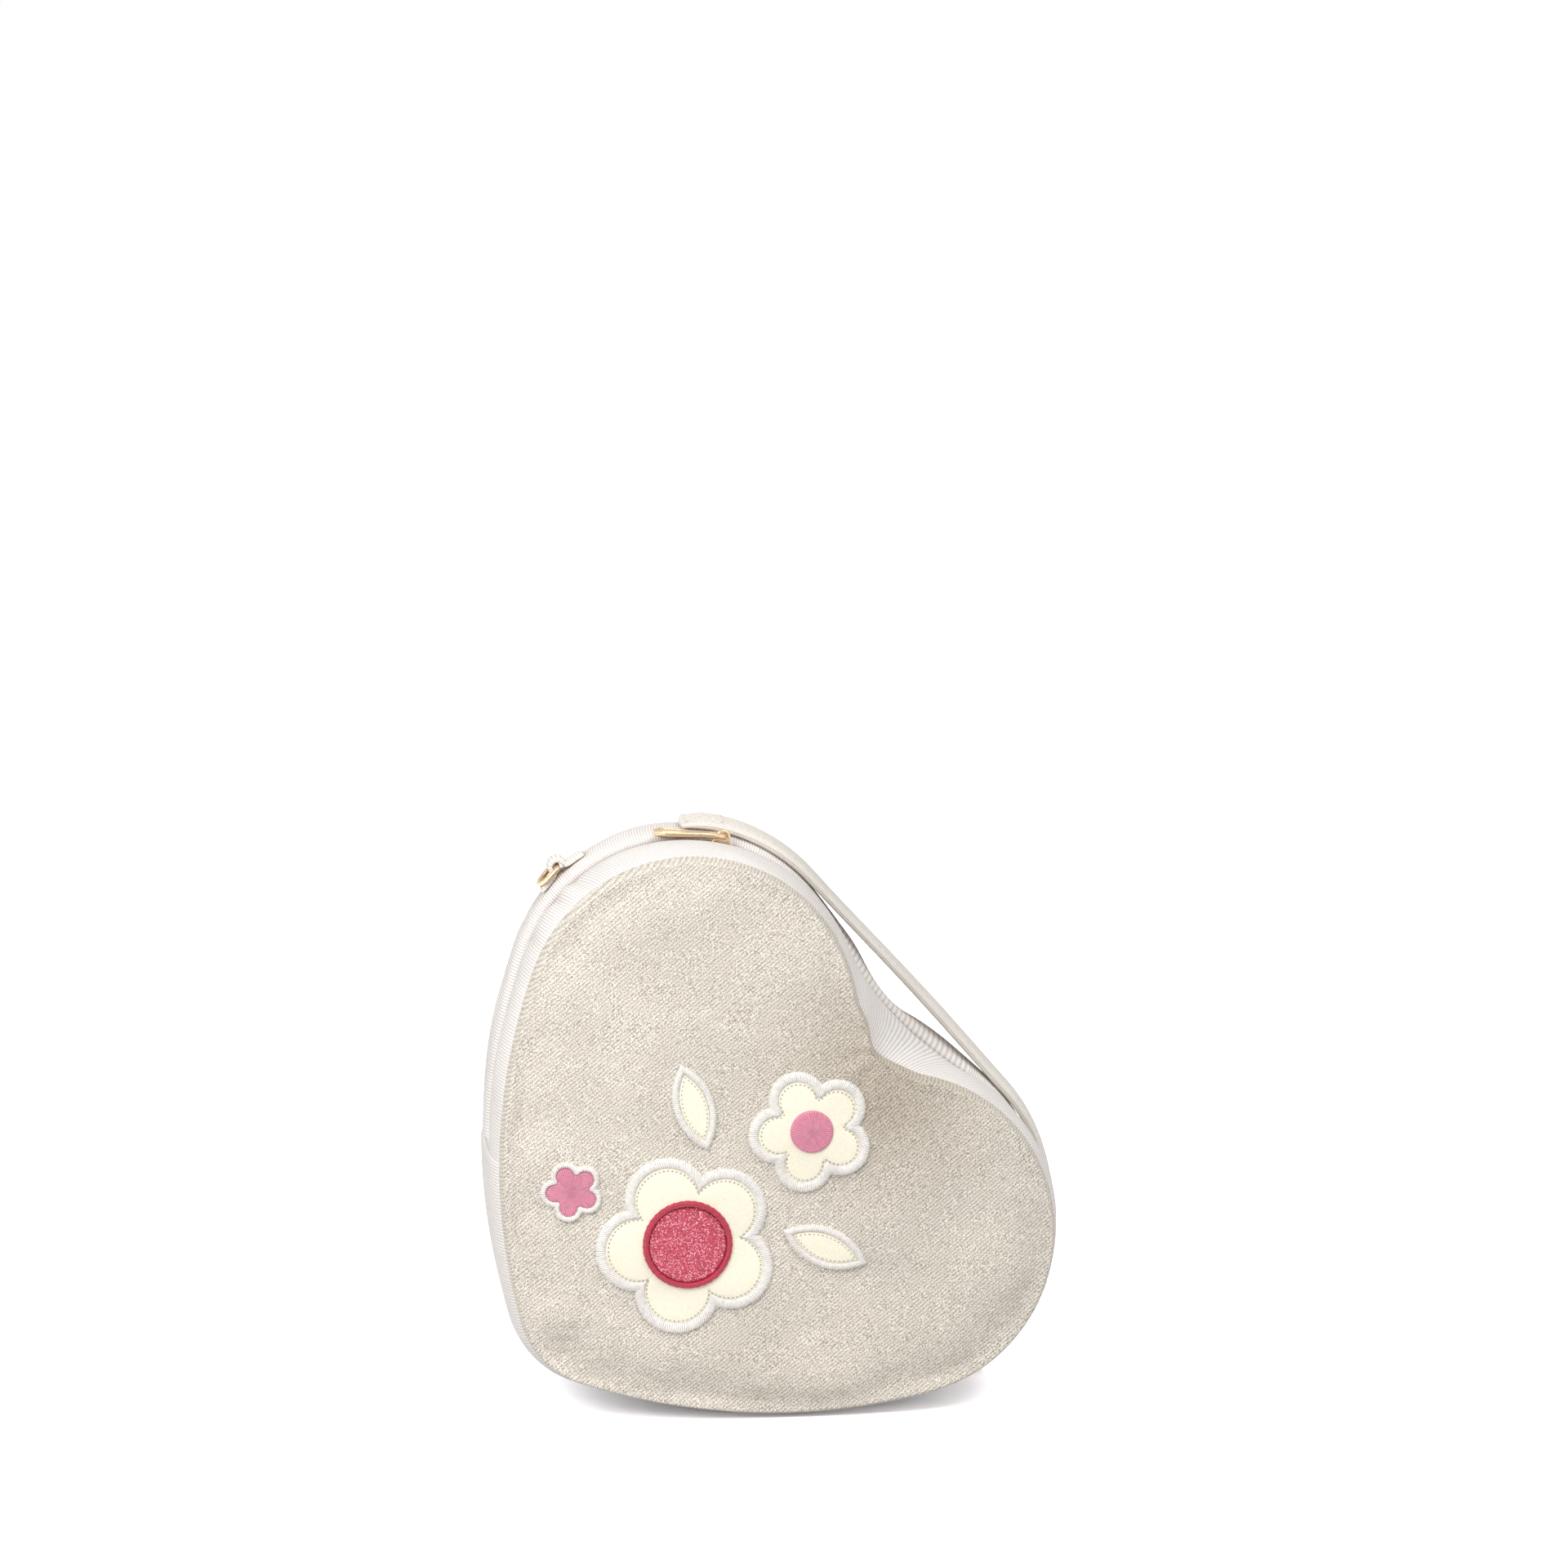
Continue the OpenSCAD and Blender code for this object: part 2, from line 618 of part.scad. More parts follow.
module small_blossom() color(rose) posed() blossom(small_at, small_r);
module small_blossom_border() color(white_thread) posed() blossom_border(small_at, small_r);
module leaves() color(cream_felt) posed() leaf_pair(patch_t) leaf_outline(leaf_border_w);
module leaf_borders() color(white_thread) posed() leaf_pair(border_t) difference() {
  leaf_outline(0);
  leaf_outline(leaf_border_w);
}
module zip_slider() color(pale_gold) posed() zip_slider_body();
module zip_puller() color(pale_gold) posed() zip_puller_body();
module left_ring() color(pale_gold) posed() ring_on(-1, left_ring_swing);
module right_ring() color(pale_gold) posed() ring_on(1, right_ring_swing);

back_panel();
back_padding();
back_board();
back_lining();
back_band();
back_spine();
back_zip_tape();
back_zip_teeth();
back_zip_stops();
handle();
left_ring_tab();
right_ring_tab();
front_panel();
front_padding();
front_board();
front_lining();
front_band();
front_spine();
front_zip_tape();
front_zip_teeth();
front_zip_stops();
large_blossom();
large_blossom_border();
large_blossom_centre();
large_centre_border();
medium_blossom();
medium_blossom_border();
medium_blossom_centre();
small_blossom();
small_blossom_border();
leaves();
leaf_borders();
zip_slider();
zip_puller();
left_ring();
right_ring();
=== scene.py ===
import math

import bmesh
import bpy
import numpy as np
from mathutils import Euler, Matrix, Vector
from mathutils.bvhtree import BVHTree
from mathutils.kdtree import KDTree


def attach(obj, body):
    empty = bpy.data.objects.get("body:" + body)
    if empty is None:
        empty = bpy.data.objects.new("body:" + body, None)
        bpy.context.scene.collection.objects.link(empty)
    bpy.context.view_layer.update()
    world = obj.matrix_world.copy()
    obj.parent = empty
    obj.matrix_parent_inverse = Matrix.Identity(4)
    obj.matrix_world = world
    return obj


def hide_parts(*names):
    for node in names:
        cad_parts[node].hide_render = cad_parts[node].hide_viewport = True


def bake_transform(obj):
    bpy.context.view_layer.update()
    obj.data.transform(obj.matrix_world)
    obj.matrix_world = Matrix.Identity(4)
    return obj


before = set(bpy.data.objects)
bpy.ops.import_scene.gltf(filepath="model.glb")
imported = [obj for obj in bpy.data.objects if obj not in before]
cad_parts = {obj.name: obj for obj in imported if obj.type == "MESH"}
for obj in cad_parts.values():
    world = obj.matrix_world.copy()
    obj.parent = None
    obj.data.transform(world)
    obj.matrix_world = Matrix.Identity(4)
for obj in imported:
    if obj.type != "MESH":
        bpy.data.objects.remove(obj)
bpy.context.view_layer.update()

mm = 0.001

# Padded front and back panels.
# Each is a heart of greige cotton velour over thin foam and card. Its edge is turned down all round
# and sewn into the groove where the panel meets the side band, which crowns it and puckers it a little.
HEART_W = 220*mm
HEART_L = 176*mm
LOBE_R = 58*mm
TIP_R = 30*mm
FLANK_R = 210*mm
SEAM_DIP = 17*mm
ZIP_DIP = 6.5*mm
FRONT_NOTCH_POWER = 1.6
BACK_NOTCH_POWER = 3.2
ZIP_END_H = 34*mm
LEAN = math.radians(48)
TIP_X = -85.762*mm
TIP_Z = 22.914*mm
SEAM_Y = 35*mm
LIP_Y = 4.2*mm
CROWN_H = 6.5*mm

LOBE_C = np.array([HEART_W/2 - LOBE_R, HEART_L - LOBE_R])
TIP_C = np.array([0.0, TIP_R])


def flank_centre():
    """Centre of the arc that joins the tip's arc to the right lobe's."""
    chord = LOBE_C - TIP_C
    length = np.linalg.norm(chord)
    along = ((FLANK_R - TIP_R)**2 - (FLANK_R - LOBE_R)**2 + length**2)/(2*length)
    off = math.sqrt((FLANK_R - TIP_R)**2 - along**2)
    way = chord/length
    return TIP_C + way*along + np.array([-way[1], way[0]])*off


def bearing(v):
    return math.atan2(v[1], v[0])


FLANK_C = flank_centre()
FLANK_START = bearing(TIP_C - FLANK_C)
FLANK_END = bearing(LOBE_C - FLANK_C)
ZIP_START = math.asin((ZIP_END_H - FLANK_C[1])/FLANK_R)
# Stations along half the outline: tip, flank below and above the zip's end, lobe and notch. They are about
# 1.5 mm apart, and 1 mm at the notch.
ARC_STEPS = (10, 36, 48, 100, 20)
HALF = sum(ARC_STEPS)
ROUND = 2*HALF
ZIP_FROM = ARC_STEPS[0] + ARC_STEPS[1]
ZIP_TO = ROUND - ZIP_FROM


def notch(depth):
    """Radius and centre of the arc between the lobes at a depth, which is negative to the front."""
    # The zip bridges the notch, which deepens from the bands' lips to the seams
    share = min(max((abs(depth) - LIP_Y)/(SEAM_Y - LIP_Y), 0), 1)
    power = FRONT_NOTCH_POWER if depth < 0 else BACK_NOTCH_POWER
    dip = ZIP_DIP + (SEAM_DIP - ZIP_DIP)*share**power
    r = (LOBE_C[0]**2 + dip**2)/(2*dip) - LOBE_R
    return r, np.array([0, HEART_L - dip + r])


def half_outline(out, depth):
    """Right half of the heart moved out by a distance, at a depth from the zip, in the heart's own plane."""
    r, c = notch(depth)
    lobe_end = bearing(c - LOBE_C)
    arcs = [
        (TIP_C, TIP_R + out, -math.pi/2, FLANK_START),
        (FLANK_C, FLANK_R + out, FLANK_START, ZIP_START),
        (FLANK_C, FLANK_R + out, ZIP_START, FLANK_END),
        (LOBE_C, LOBE_R + out, FLANK_END, lobe_end),
        (c, r - out, lobe_end - math.pi, -math.pi/2),
    ]
    points = [[TIP_C - [0, TIP_R + out]]]
    for (centre, radius, start, end), steps in zip(arcs, ARC_STEPS):
        angles = np.linspace(start, end, steps + 1)[1:]
        points.append(centre + radius*np.stack([np.cos(angles), np.sin(angles)], 1))
    return np.concatenate(points)


def whole(half):
    """Both halves, all the way round and back to the first station."""
    left = half[-2:0:-1]*[-1, 1]
    return np.concatenate([half, left, half[:1]])


def bumps(values, table):
    """A sum of smooth bumps along a row, each as (height, middle, width)."""
    return sum(height*np.exp(-((values - middle)/width)**2) for height, middle, width in table)


STATIONS = np.arange(ROUND + 1)
CORNER = HALF
# The cloth is clipped and pulled tight where the lobes meet, so its seams move in at the corner and out
# beside it: heights in mm, middles and widths in stations
PULL = bumps(STATIONS, [(1.9, CORNER + 12, 7), (0.4, CORNER - 12, 6), (-1.3, CORNER, 5)])


def outline(out, depth):
    """The whole heart moved out by a distance, at a depth from the zip, round to its first station."""
    row = whole(half_outline(out, depth))
    away = whole(half_outline(out + mm, depth)) - row
    return row + away*(PULL*(depth/SEAM_Y)**2)[:, None]


FLANK_STEPS = ARC_STEPS[1] + ARC_STEPS[2]
HALF_MIDDLE = np.concatenate([
    np.tile(TIP_C, (ARC_STEPS[0] + 1, 1)),
    TIP_C + np.outer(np.arange(1, FLANK_STEPS + 1)/FLANK_STEPS, LOBE_C - TIP_C),
    np.tile(LOBE_C, (ARC_STEPS[3], 1)),
    LOBE_C - np.outer(np.arange(1, ARC_STEPS[4] + 1)/ARC_STEPS[4], [LOBE_C[0], 0]),
])
MIDDLE = whole(HALF_MIDDLE)
HEART_MIDDLE = TIP_C + ([0, LOBE_C[1]] - TIP_C)*2/3


def posed(flat, depth):
    """Points of the heart's plane as they stand in the bag, at a depth or at one depth each."""
    flat = np.asarray(flat, float)
    x = TIP_X + flat[..., 0]*math.cos(LEAN) + flat[..., 1]*math.sin(LEAN)
    z = TIP_Z - flat[..., 0]*math.sin(LEAN) + flat[..., 1]*math.cos(LEAN)
    return np.stack([x, np.broadcast_to(depth, x.shape), z], -1)


def lengths(points):
    """Distance run along a row of points, from its first one."""
    return np.concatenate([[0], np.cumsum(np.linalg.norm(np.diff(points, axis=0), axis=1))])


WELD = 0.001*mm


def laid(name, rows, u, v, outward):
    """A cloth laid on rows of points: a grid whose UV map is in metres, u along a row, v across the rows."""
    rows = np.asarray(rows, float)
    m, n, _ = rows.shape
    bm = bmesh.new()
    bmesh.ops.create_grid(bm, x_segments=n - 1, y_segments=m - 1, size=0.5)
    uv = bm.loops.layers.uv.new("UVMap")
    for vertex, point in zip(bm.verts, rows.reshape(-1, 3)):
        vertex.co = point
    bm.verts.index_update()
    for face in bm.faces:
        face.smooth = True
        for loop in face.loops:
            j, i = divmod(loop.vert.index, n)
            loop[uv].uv = (u[i], v[j])
    bmesh.ops.remove_doubles(bm, verts=bm.verts, dist=WELD)
    bmesh.ops.dissolve_degenerate(bm, edges=bm.edges, dist=WELD/10)
    bm.normal_update()
    turned = sum(f.normal.dot(outward(f.calc_center_median()))*f.calc_area() for f in bm.faces)
    if turned < 0:
        bmesh.ops.reverse_faces(bm, faces=bm.faces)
    return finished(name, bm)


def finished(name, bm):
    """Makes the object of a bmesh."""
    mesh = bpy.data.meshes.new(name)
    bm.to_mesh(mesh)
    bm.free()
    mesh.shade_smooth()
    piece = bpy.data.objects.new(name, mesh)
    bpy.context.scene.collection.objects.link(piece)
    return piece


def linear(text):
    """Linear colour of an sRGB hex value, with an alpha of 1."""
    shares = [int(text[k:k + 2], 16)/255 for k in (1, 3, 5)]
    return tuple(s/12.92 if s <= 0.04045 else ((s + 0.055)/1.055)**2.4 for s in shares) + (1.0,)


def bands(pitch):
    """Scale at which a wave texture repeats once in each pitch."""
    return 2*math.pi/(20*pitch)


def add_node(material, kind, settings=None, links=None):
    """Adds a node. Settings are its properties, sockets or ramp; links feed its sockets from other nodes."""
    node = material.node_tree.nodes.new("ShaderNode" + kind)
    for name, value in (settings or {}).items():
        if name == "ramp":
            while len(node.color_ramp.elements) < len(value):
                node.color_ramp.elements.new(0.5)
            for element, (position, colour) in zip(node.color_ramp.elements, value):
                element.position = position
                element.color = linear(colour)
        elif isinstance(name, str) and hasattr(node, name):
            setattr(node, name, value)
        else:
            node.inputs[name].default_value = value
    for name, (source, output) in (links or {}).items():
        material.node_tree.links.new(source.outputs[output], node.inputs[name])
    return node


def new_material(name):
    material = bpy.data.materials.new(name)
    material.use_nodes = True
    material.node_tree.nodes.clear()
    return material


def surfaced(material, settings, links):
    """Ends a material with its principled surface."""
    surface = add_node(material, "BsdfPrincipled", settings, links)
    add_node(material, "OutputMaterial", None, {"Surface": (surface, "BSDF")})
    return material


def grained(name, grain, noise, shades, settings, gloss=None, relief=None):
    """A material toned by fine noise, whose grain has a size along x, y and z. Gloss gives the roughnesses
    that it shifts between, and relief the strength and height of its bumps."""
    material = new_material(name)
    place = add_node(material, "TexCoord")
    fine = add_node(material, "Mapping", {"Scale": [1/size for size in grain]}, {"Vector": (place, "Object")})
    fleck = add_node(material, "TexNoise", {"Scale": 1.0, **noise}, {"Vector": (fine, "Vector")})
    tone = add_node(material, "ValToRGB", {"ramp": shades}, {"Fac": (fleck, "Fac")})
    links = {"Base Color": (tone, "Color")}
    if gloss:
        rough = add_node(material, "MapRange", {"To Min": gloss[0], "To Max": gloss[1]},
                         {"Value": (fleck, "Fac")})
        links["Roughness"] = (rough, "Result")
    if relief:
        bump = add_node(material, "Bump", {"Strength": relief[0], "Distance": relief[1]},
                        {"Height": (fleck, "Fac")})
        links["Normal"] = (bump, "Normal")
    return surfaced(material, settings, links)


def sines(points, waves):
    """A gentle unevenness: a sum of sines over x and z, each as (height, wavelength, direction, start)."""
    total = np.zeros(len(points))
    for height, length, turn, start in waves:
        along = points[:, 0]*math.cos(turn) + points[:, -1]*math.sin(turn)
        total += height*np.sin(2*math.pi*along/length + start)
    return total


# Crown of the panel: it rises steeply from the seam and then levels out
CROWN_SHARE = 0.036
CROWN_POWER = 2.1
GROOVE = 1.4*mm
EDGE_RISE = 0.5*mm
# Rows of the panel from its edge to the heart's middle line, close together near the seam
PANEL_SHARES = [0, 0.0015, 0.003, 0.005, 0.0075, 0.0105, 0.014, 0.018, 0.0225, 0.0275, 0.033, 0.04, 0.05,
                0.062, 0.077, 0.095, 0.115, 0.14, 0.17, 0.205, 0.245, 0.29, 0.34, 0.39, 0.44, 0.49, 0.54,
                0.59, 0.64, 0.69, 0.74, 0.79, 0.84, 0.89, 0.94, 1]
CORE_SHARES = [0.25, 0.5, 0.75, 1]


def crown(share):
    return 1 - max(1 - share/CROWN_SHARE, 0)**CROWN_POWER


def panel_rows(side):
    """Rows of the panel from the bottom of its seam groove to its middle."""
    edge = outline(0, SEAM_Y)
    rows = [posed(outline(-GROOVE, SEAM_Y), side*(SEAM_Y - GROOVE/2))]
    rows.append(posed(outline(-GROOVE/3, SEAM_Y), side*SEAM_Y))
    for share in PANEL_SHARES:
        rise = EDGE_RISE + (CROWN_H - EDGE_RISE)*crown(share)
        rows.append(posed(edge + (MIDDLE - edge)*share, side*(SEAM_Y + rise)))
    for share in CORE_SHARES:
        rows.append(posed(MIDDLE + (HEART_MIDDLE - MIDDLE)*share, side*(SEAM_Y + CROWN_H)))
    return rows


# The cloth simulation blows the pad up a little behind its sewn edge. The cap keeps its rise small.
PAD_DEPTH = 8*mm
PAD_VOXEL = 4.5*mm
PAD_HELD = 1.2*mm
PAD_FRAMES = 20
PAD_PRESSURE = 4
PAD_STIFFNESS = 15
PAD_CAP = 2.2*mm
NEAR_POINTS = 8
NEAR_BLUR = 2*mm


def swell(side):
    """Simulates the pad as cloth under air pressure and returns where it rises: places and heights."""
    rows = panel_rows(side)[1:]
    under = [posed(outline(-GROOVE, SEAM_Y), side*(SEAM_Y - PAD_DEPTH))]
    under.append(posed(np.tile(HEART_MIDDLE, (ROUND + 1, 1)), side*(SEAM_Y - PAD_DEPTH)))
    loop = under[::-1] + rows
    pad = laid("pad_form", loop, STATIONS, np.arange(len(loop)), lambda p: Vector((0, p.y - side*SEAM_Y, 0)))
    remesh = pad.modifiers.new("even", "REMESH")
    remesh.mode = "VOXEL"
    remesh.voxel_size = PAD_VOXEL
    bpy.context.view_layer.objects.active = pad
    with bpy.context.temp_override(object=pad, active_object=pad):
        bpy.ops.object.modifier_apply(modifier=remesh.name)
    count = len(pad.data.vertices)
    start = np.empty(count*3)
    pad.data.vertices.foreach_get("co", start)
    start = start.reshape(-1, 3)
    held = pad.vertex_groups.new(name="sewn")
    top = start[:, 1]*side > SEAM_Y + PAD_HELD
    fixed = np.flatnonzero(start[:, 1]*side < SEAM_Y + PAD_HELD)
    held.add([int(k) for k in fixed], 1, "REPLACE")
    cloth = pad.modifiers.new("foam", "CLOTH")
    cloth.settings.quality = 5
    cloth.settings.mass = 0.3
    cloth.settings.tension_stiffness = PAD_STIFFNESS
    cloth.settings.compression_stiffness = PAD_STIFFNESS
    cloth.settings.bending_stiffness = 0.5
    cloth.settings.use_pressure = True
    cloth.settings.uniform_pressure_force = PAD_PRESSURE
    cloth.settings.vertex_group_mass = held.name
    cloth.settings.effector_weights.gravity = 0
    cloth.point_cache.frame_start = 1
    cloth.point_cache.frame_end = PAD_FRAMES
    for step in range(1, PAD_FRAMES + 1):
        bpy.context.scene.frame_set(step)
    shaped = pad.evaluated_get(bpy.context.evaluated_depsgraph_get())
    end = np.empty(count*3)
    shaped.data.vertices.foreach_get("co", end)
    rise = (end.reshape(-1, 3)[:, 1] - start[:, 1])*side
    bpy.data.objects.remove(pad)
    bpy.context.scene.frame_set(1)
    return start[top], np.clip(rise[top], -PAD_CAP, PAD_CAP)


def swollen(points, side):
    """How far each point of the panel rises: the simulated rise near it, in a smooth mean."""
    places, heights = swell(side)
    tree = KDTree(len(places))
    for k, p in enumerate(places):
        tree.insert((p[0], 0, p[2]), k)
    tree.balance()
    found = np.zeros(len(points))
    for k, p in enumerate(points):
        near = tree.find_n((p[0], 0, p[2]), NEAR_POINTS)
        weights = np.array([1/(d + NEAR_BLUR)**2 for _, _, d in near])
        found[k] = (weights*heights[[i for _, i, _ in near]]).sum()/weights.sum()
    return found


# Velour: a soft cotton pile over a diagonal twill. Its cords slant up to the right, and a finer crossing
# weave breaks them into short pale tufts with darker gaps. Brushed patches of the pile look a little deeper,
# and painted shade darkens the front towards the corner between the lobes.
CORD_PITCH = 1.15*mm
CORD_SLANT = math.radians(39.5)
TUFT_PITCH = 0.71*mm
FLUFF_GRAIN = 0.4*mm
BRUSHED_PATCH = 38.46*mm
PAINTED_SHADE_AT = (30*mm, -42*mm, 116*mm)
PAINTED_SHADE_R = 54*mm


def velour(name, shades):
    material = new_material(name)
    place = add_node(material, "TexCoord")
    # The slanted place counts in millimetres
    slant = add_node(material, "Mapping",
                     {"vector_type": "TEXTURE", "Rotation": (0, -CORD_SLANT, 0), "Scale": (mm, mm, mm)},
                     {"Vector": (place, "Object")})
    cord = add_node(material, "TexWave",
                    {"bands_direction": "Z", "Scale": mm*bands(CORD_PITCH), "Distortion": 1.5, "Detail": 1.0,
                     "Detail Scale": 0.8}, {"Vector": (slant, "Vector")})
    tuft = add_node(material, "TexWave",
                    {"bands_direction": "X", "Scale": mm*bands(TUFT_PITCH), "Distortion": 2.6, "Detail": 1.0,
                     "Detail Scale": 1.2}, {"Vector": (slant, "Vector")})
    fluff = add_node(material, "TexNoise", {"Scale": mm/FLUFF_GRAIN, "Detail": 1.0, "Roughness": 0.7},
                     {"Vector": (slant, "Vector")})
    woven = add_node(material, "Math", {"operation": "MULTIPLY_ADD", 1: 0.4},
                     {0: (tuft, "Fac"), 2: (cord, "Fac")})
    pile = add_node(material, "Math", {"operation": "MULTIPLY_ADD", 1: 7.5},
                    {0: (fluff, "Fac"), 2: (woven, "Value")})
    share = add_node(material, "MapRange", {"From Min": 2.75, "From Max": 6.15}, {"Value": (pile, "Value")})
    grain = add_node(material, "ValToRGB", {"ramp": shades}, {"Fac": (share, "Result")})
    # Painted shade: the front velour darkens smoothly towards a point near the corner between the lobes
    shade_distance = add_node(material, "VectorMath", {"operation": "DISTANCE", 1: PAINTED_SHADE_AT}, {0: (place, "Object")})
    reach = add_node(material, "MapRange",
                     {"From Min": 0.0, "From Max": PAINTED_SHADE_R, "interpolation_type": "SMOOTHSTEP"},
                     {"Value": (shade_distance, "Value")})
    painted_shade = add_node(material, "ValToRGB", {"ramp": [(0, "#dad5cf"), (1, "#ffffff")]},
                    {"Fac": (reach, "Result")})
    shaded_grain = add_node(material, "VectorMath", {"operation": "MULTIPLY"},
                      {0: (grain, "Color"), 1: (painted_shade, "Color")})
    patch = add_node(material, "TexNoise", {"Scale": 1/BRUSHED_PATCH, "Detail": 2.0},
                     {"Vector": (place, "Object")})
    brushed = add_node(material, "MapRange",
                       {"From Min": 0.32, "From Max": 0.68, "To Min": 0.95, "To Max": 1.03},
                       {"Value": (patch, "Fac")})
    tint = add_node(material, "VectorMath", {"operation": "SCALE"},
                    {0: (shaded_grain, "Vector"), "Scale": (brushed, "Result")})
    bump = add_node(material, "Bump", {"Strength": 0.3, "Distance": 0.25*mm}, {"Height": (share, "Result")})
    return surfaced(material, {"Roughness": 0.95, "Specular IOR Level": 0.2, "Sheen Weight": 0.25,
                               "Sheen Roughness": 0.45, "Sheen Tint": linear("#f3ecdf")},
                    {"Base Color": (tint, "Vector"), "Normal": (bump, "Normal")})


PILE_SHADES = [(0.1, "#a0988b"), (0.3, "#bab2a5"), (0.5, "#d9d0c3"), (0.7, "#f1e9dd"), (0.9, "#fcf6ec")]
panel_velour = velour("greige_cotton_velour_twill", PILE_SHADES)
# Slow unevenness of the padding: height, wavelength, direction and start of each wave
PAD_WAVES = [(0.35*mm, 61*mm, 0.6, 0.3), (0.3*mm, 43*mm, 2.2, 1.7), (0.18*mm, 27*mm, 1.3, 4.0)]
FREE_SHARE = 0.12
# Puckers: height, and place and width as shares of the way in. Their length drifts along the seam
PUCKER = (0.16*mm, 0.035, 0.03)
PUCKER_L = 7.3*mm
PUCKER_BEAT = 37*mm
PUCKER_DRIFT = 21*mm
FAN_H = 0.5*mm
FAN_R = 19*mm
FAN_START = 4*mm
FAN_FOLDS = 7


def padded_panel(side, name, body, nodes):
    rows = np.array(panel_rows(side))
    m, n, _ = rows.shape
    spot = rows.reshape(-1, 3).copy()
    run = np.tile(lengths(rows[2]), m)
    depth_in = np.repeat([0, 0] + PANEL_SHARES + [1]*len(CORE_SHARES), n)
    free = np.clip(depth_in/FREE_SHARE, 0, 1)**2
    spot[:, 1] += side*(swollen(spot, side) + sines(spot, PAD_WAVES))*free
    # Puckers stand along the sewn edge and run out a few millimetres into the face
    edge = bumps(depth_in, [PUCKER])*(depth_in > 0)
    beat = 0.5 + 0.5*np.sin(run/PUCKER_BEAT + 1.1)
    spot[:, 1] += side*edge*beat*np.sin(2*math.pi*run/PUCKER_L + 2.2*np.sin(run/PUCKER_DRIFT))
    # Folds fan out from the notch, where the cloth is clipped and pulled tight
    away = spot - posed([0, HEART_L - SEAM_DIP], 0)
    reach = np.hypot(away[:, 0], away[:, 2])
    turn = np.arctan2(away[:, 2], away[:, 0])
    fan = bumps(reach, [(FAN_H, 0, FAN_R)])*np.clip(reach/FAN_START, 0, 1)
    spot[:, 1] += side*fan*free*np.sin(FAN_FOLDS*turn + 0.6)
    piece = laid(name, spot.reshape(m, n, 3), lengths(rows[2]), lengths(rows[:, 0]),
                 lambda p: Vector((0, side, 0)))
    piece.data.materials.append(panel_velour)
    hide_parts(*nodes)
    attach(piece, body)
    return piece


front_face = padded_panel(-1, "front_velour_panel", "front_shell", ["front_panel", "front_padding"])
padded_panel(1, "back_velour_panel", "back_shell", ["back_panel", "back_padding"])

# Side bands and the spine round the tip.
# Two strips of paler ribbed velour make the side wall. Each is sewn into a panel's seam, swells a little
# and rolls over at its free edge above the zip. Below the zip's ends one piece joins both halves as a hinge.

# Sections of the bands, in mm: distance out of the heart's outline, and depth from the zip
SEAM_CONTROL = [(-1.4, 33.7), (-0.6, 34.0), (0.0, 33.5), (0.6, 32.3), (1.6, 29.2)]
FRONT_CONTROL = SEAM_CONTROL + [(2.4, 25.0), (2.75, 21.0), (2.7, 17.0), (2.4, 13.5), (1.8, 9.6), (1.25, 7.0),
                                (0.65, 5.3), (-0.1, 4.5), (-1.0, 4.7), (-1.8, 5.7), (-2.2, 8.0), (-2.3, 12.5)]
BACK_CONTROL = SEAM_CONTROL + [(2.4, 25.5), (2.95, 20.0), (3.1, 14.5), (3.0, 9.5), (2.6, 6.8), (1.9, 5.2),
                               (0.8, 4.25), (-0.5, 4.3), (-1.7, 5.4), (-2.2, 8.0), (-2.3, 12.5)]
SPINE_CONTROL = SEAM_CONTROL + [(2.5, 24.5), (3.0, 17.1), (3.1, 8.0), (3.1, 0.0)]
SPINE_OVERLAP = 3
SPINE_RISE = 0.5*mm
SPINE_TUCK = 3*mm
FLOOR_GAP = 0.15*mm
# Folds of the bands, as (height in mm, station, width in stations). Tucks stand by the left tab. The back
# band is puffed up on both sides of the corner, under the handle, where the front band is drawn down.
PLEATS = 318
TUCKS = [(-1.5, PLEATS, 1.6), (-1.1, PLEATS - 7, 1.4), (0.8, PLEATS - 3.5, 2.0), (-0.9, PLEATS + 11, 1.8)]
CORNER_FOLD = (0.7, CORNER - 7, 4.0)
FRONT_FOLDS = TUCKS + [CORNER_FOLD, (-1.0, CORNER - 6, 3.2), (-0.9, CORNER - 2, 14)]
BACK_FOLDS = [(0.4*height, middle, width) for height, middle, width in TUCKS]
BACK_FOLDS += [CORNER_FOLD, (2.8, CORNER - 13, 8), (2.0, CORNER + 13, 8)]


def smooth_line(points, steps):
    """A smooth row of points through the given ones, with so many steps from each to the next."""
    p = np.asarray(points, float)
    p = np.concatenate([[2*p[0] - p[1]], p, [2*p[-1] - p[-2]]])
    t = np.arange(steps)[:, None]/steps
    rows = []
    for a, b, c, d in zip(p[:-3], p[1:-2], p[2:-1], p[3:]):
        rows.append(0.5*(2*b + (c - a)*t + (2*a - 5*b + 4*c - d)*t**2 + (3*b - a - 3*c + d)*t**3))
    return np.concatenate(rows + [p[-2:-1]])


def band_wrinkles(stations, depth, side):
    """How far, in mm, the band stands out or in at each station, at one depth."""
    free = math.sin(math.pi*min(max((SEAM_Y - depth)/(SEAM_Y - LIP_Y), 0.04), 0.97))
    wave = 0.22*np.sin(stations/9.7 + 4*depth/SEAM_Y) + 0.16*np.sin(stations/5.3 + 1.9 + 2.5*depth/SEAM_Y)
    low = 0.22*np.sin(stations/3.1 + 0.8*side)*bumps(stations, [(1, PLEATS, 22)])
    return free*(wave + low + bumps(stations, FRONT_FOLDS if side < 0 else BACK_FOLDS))


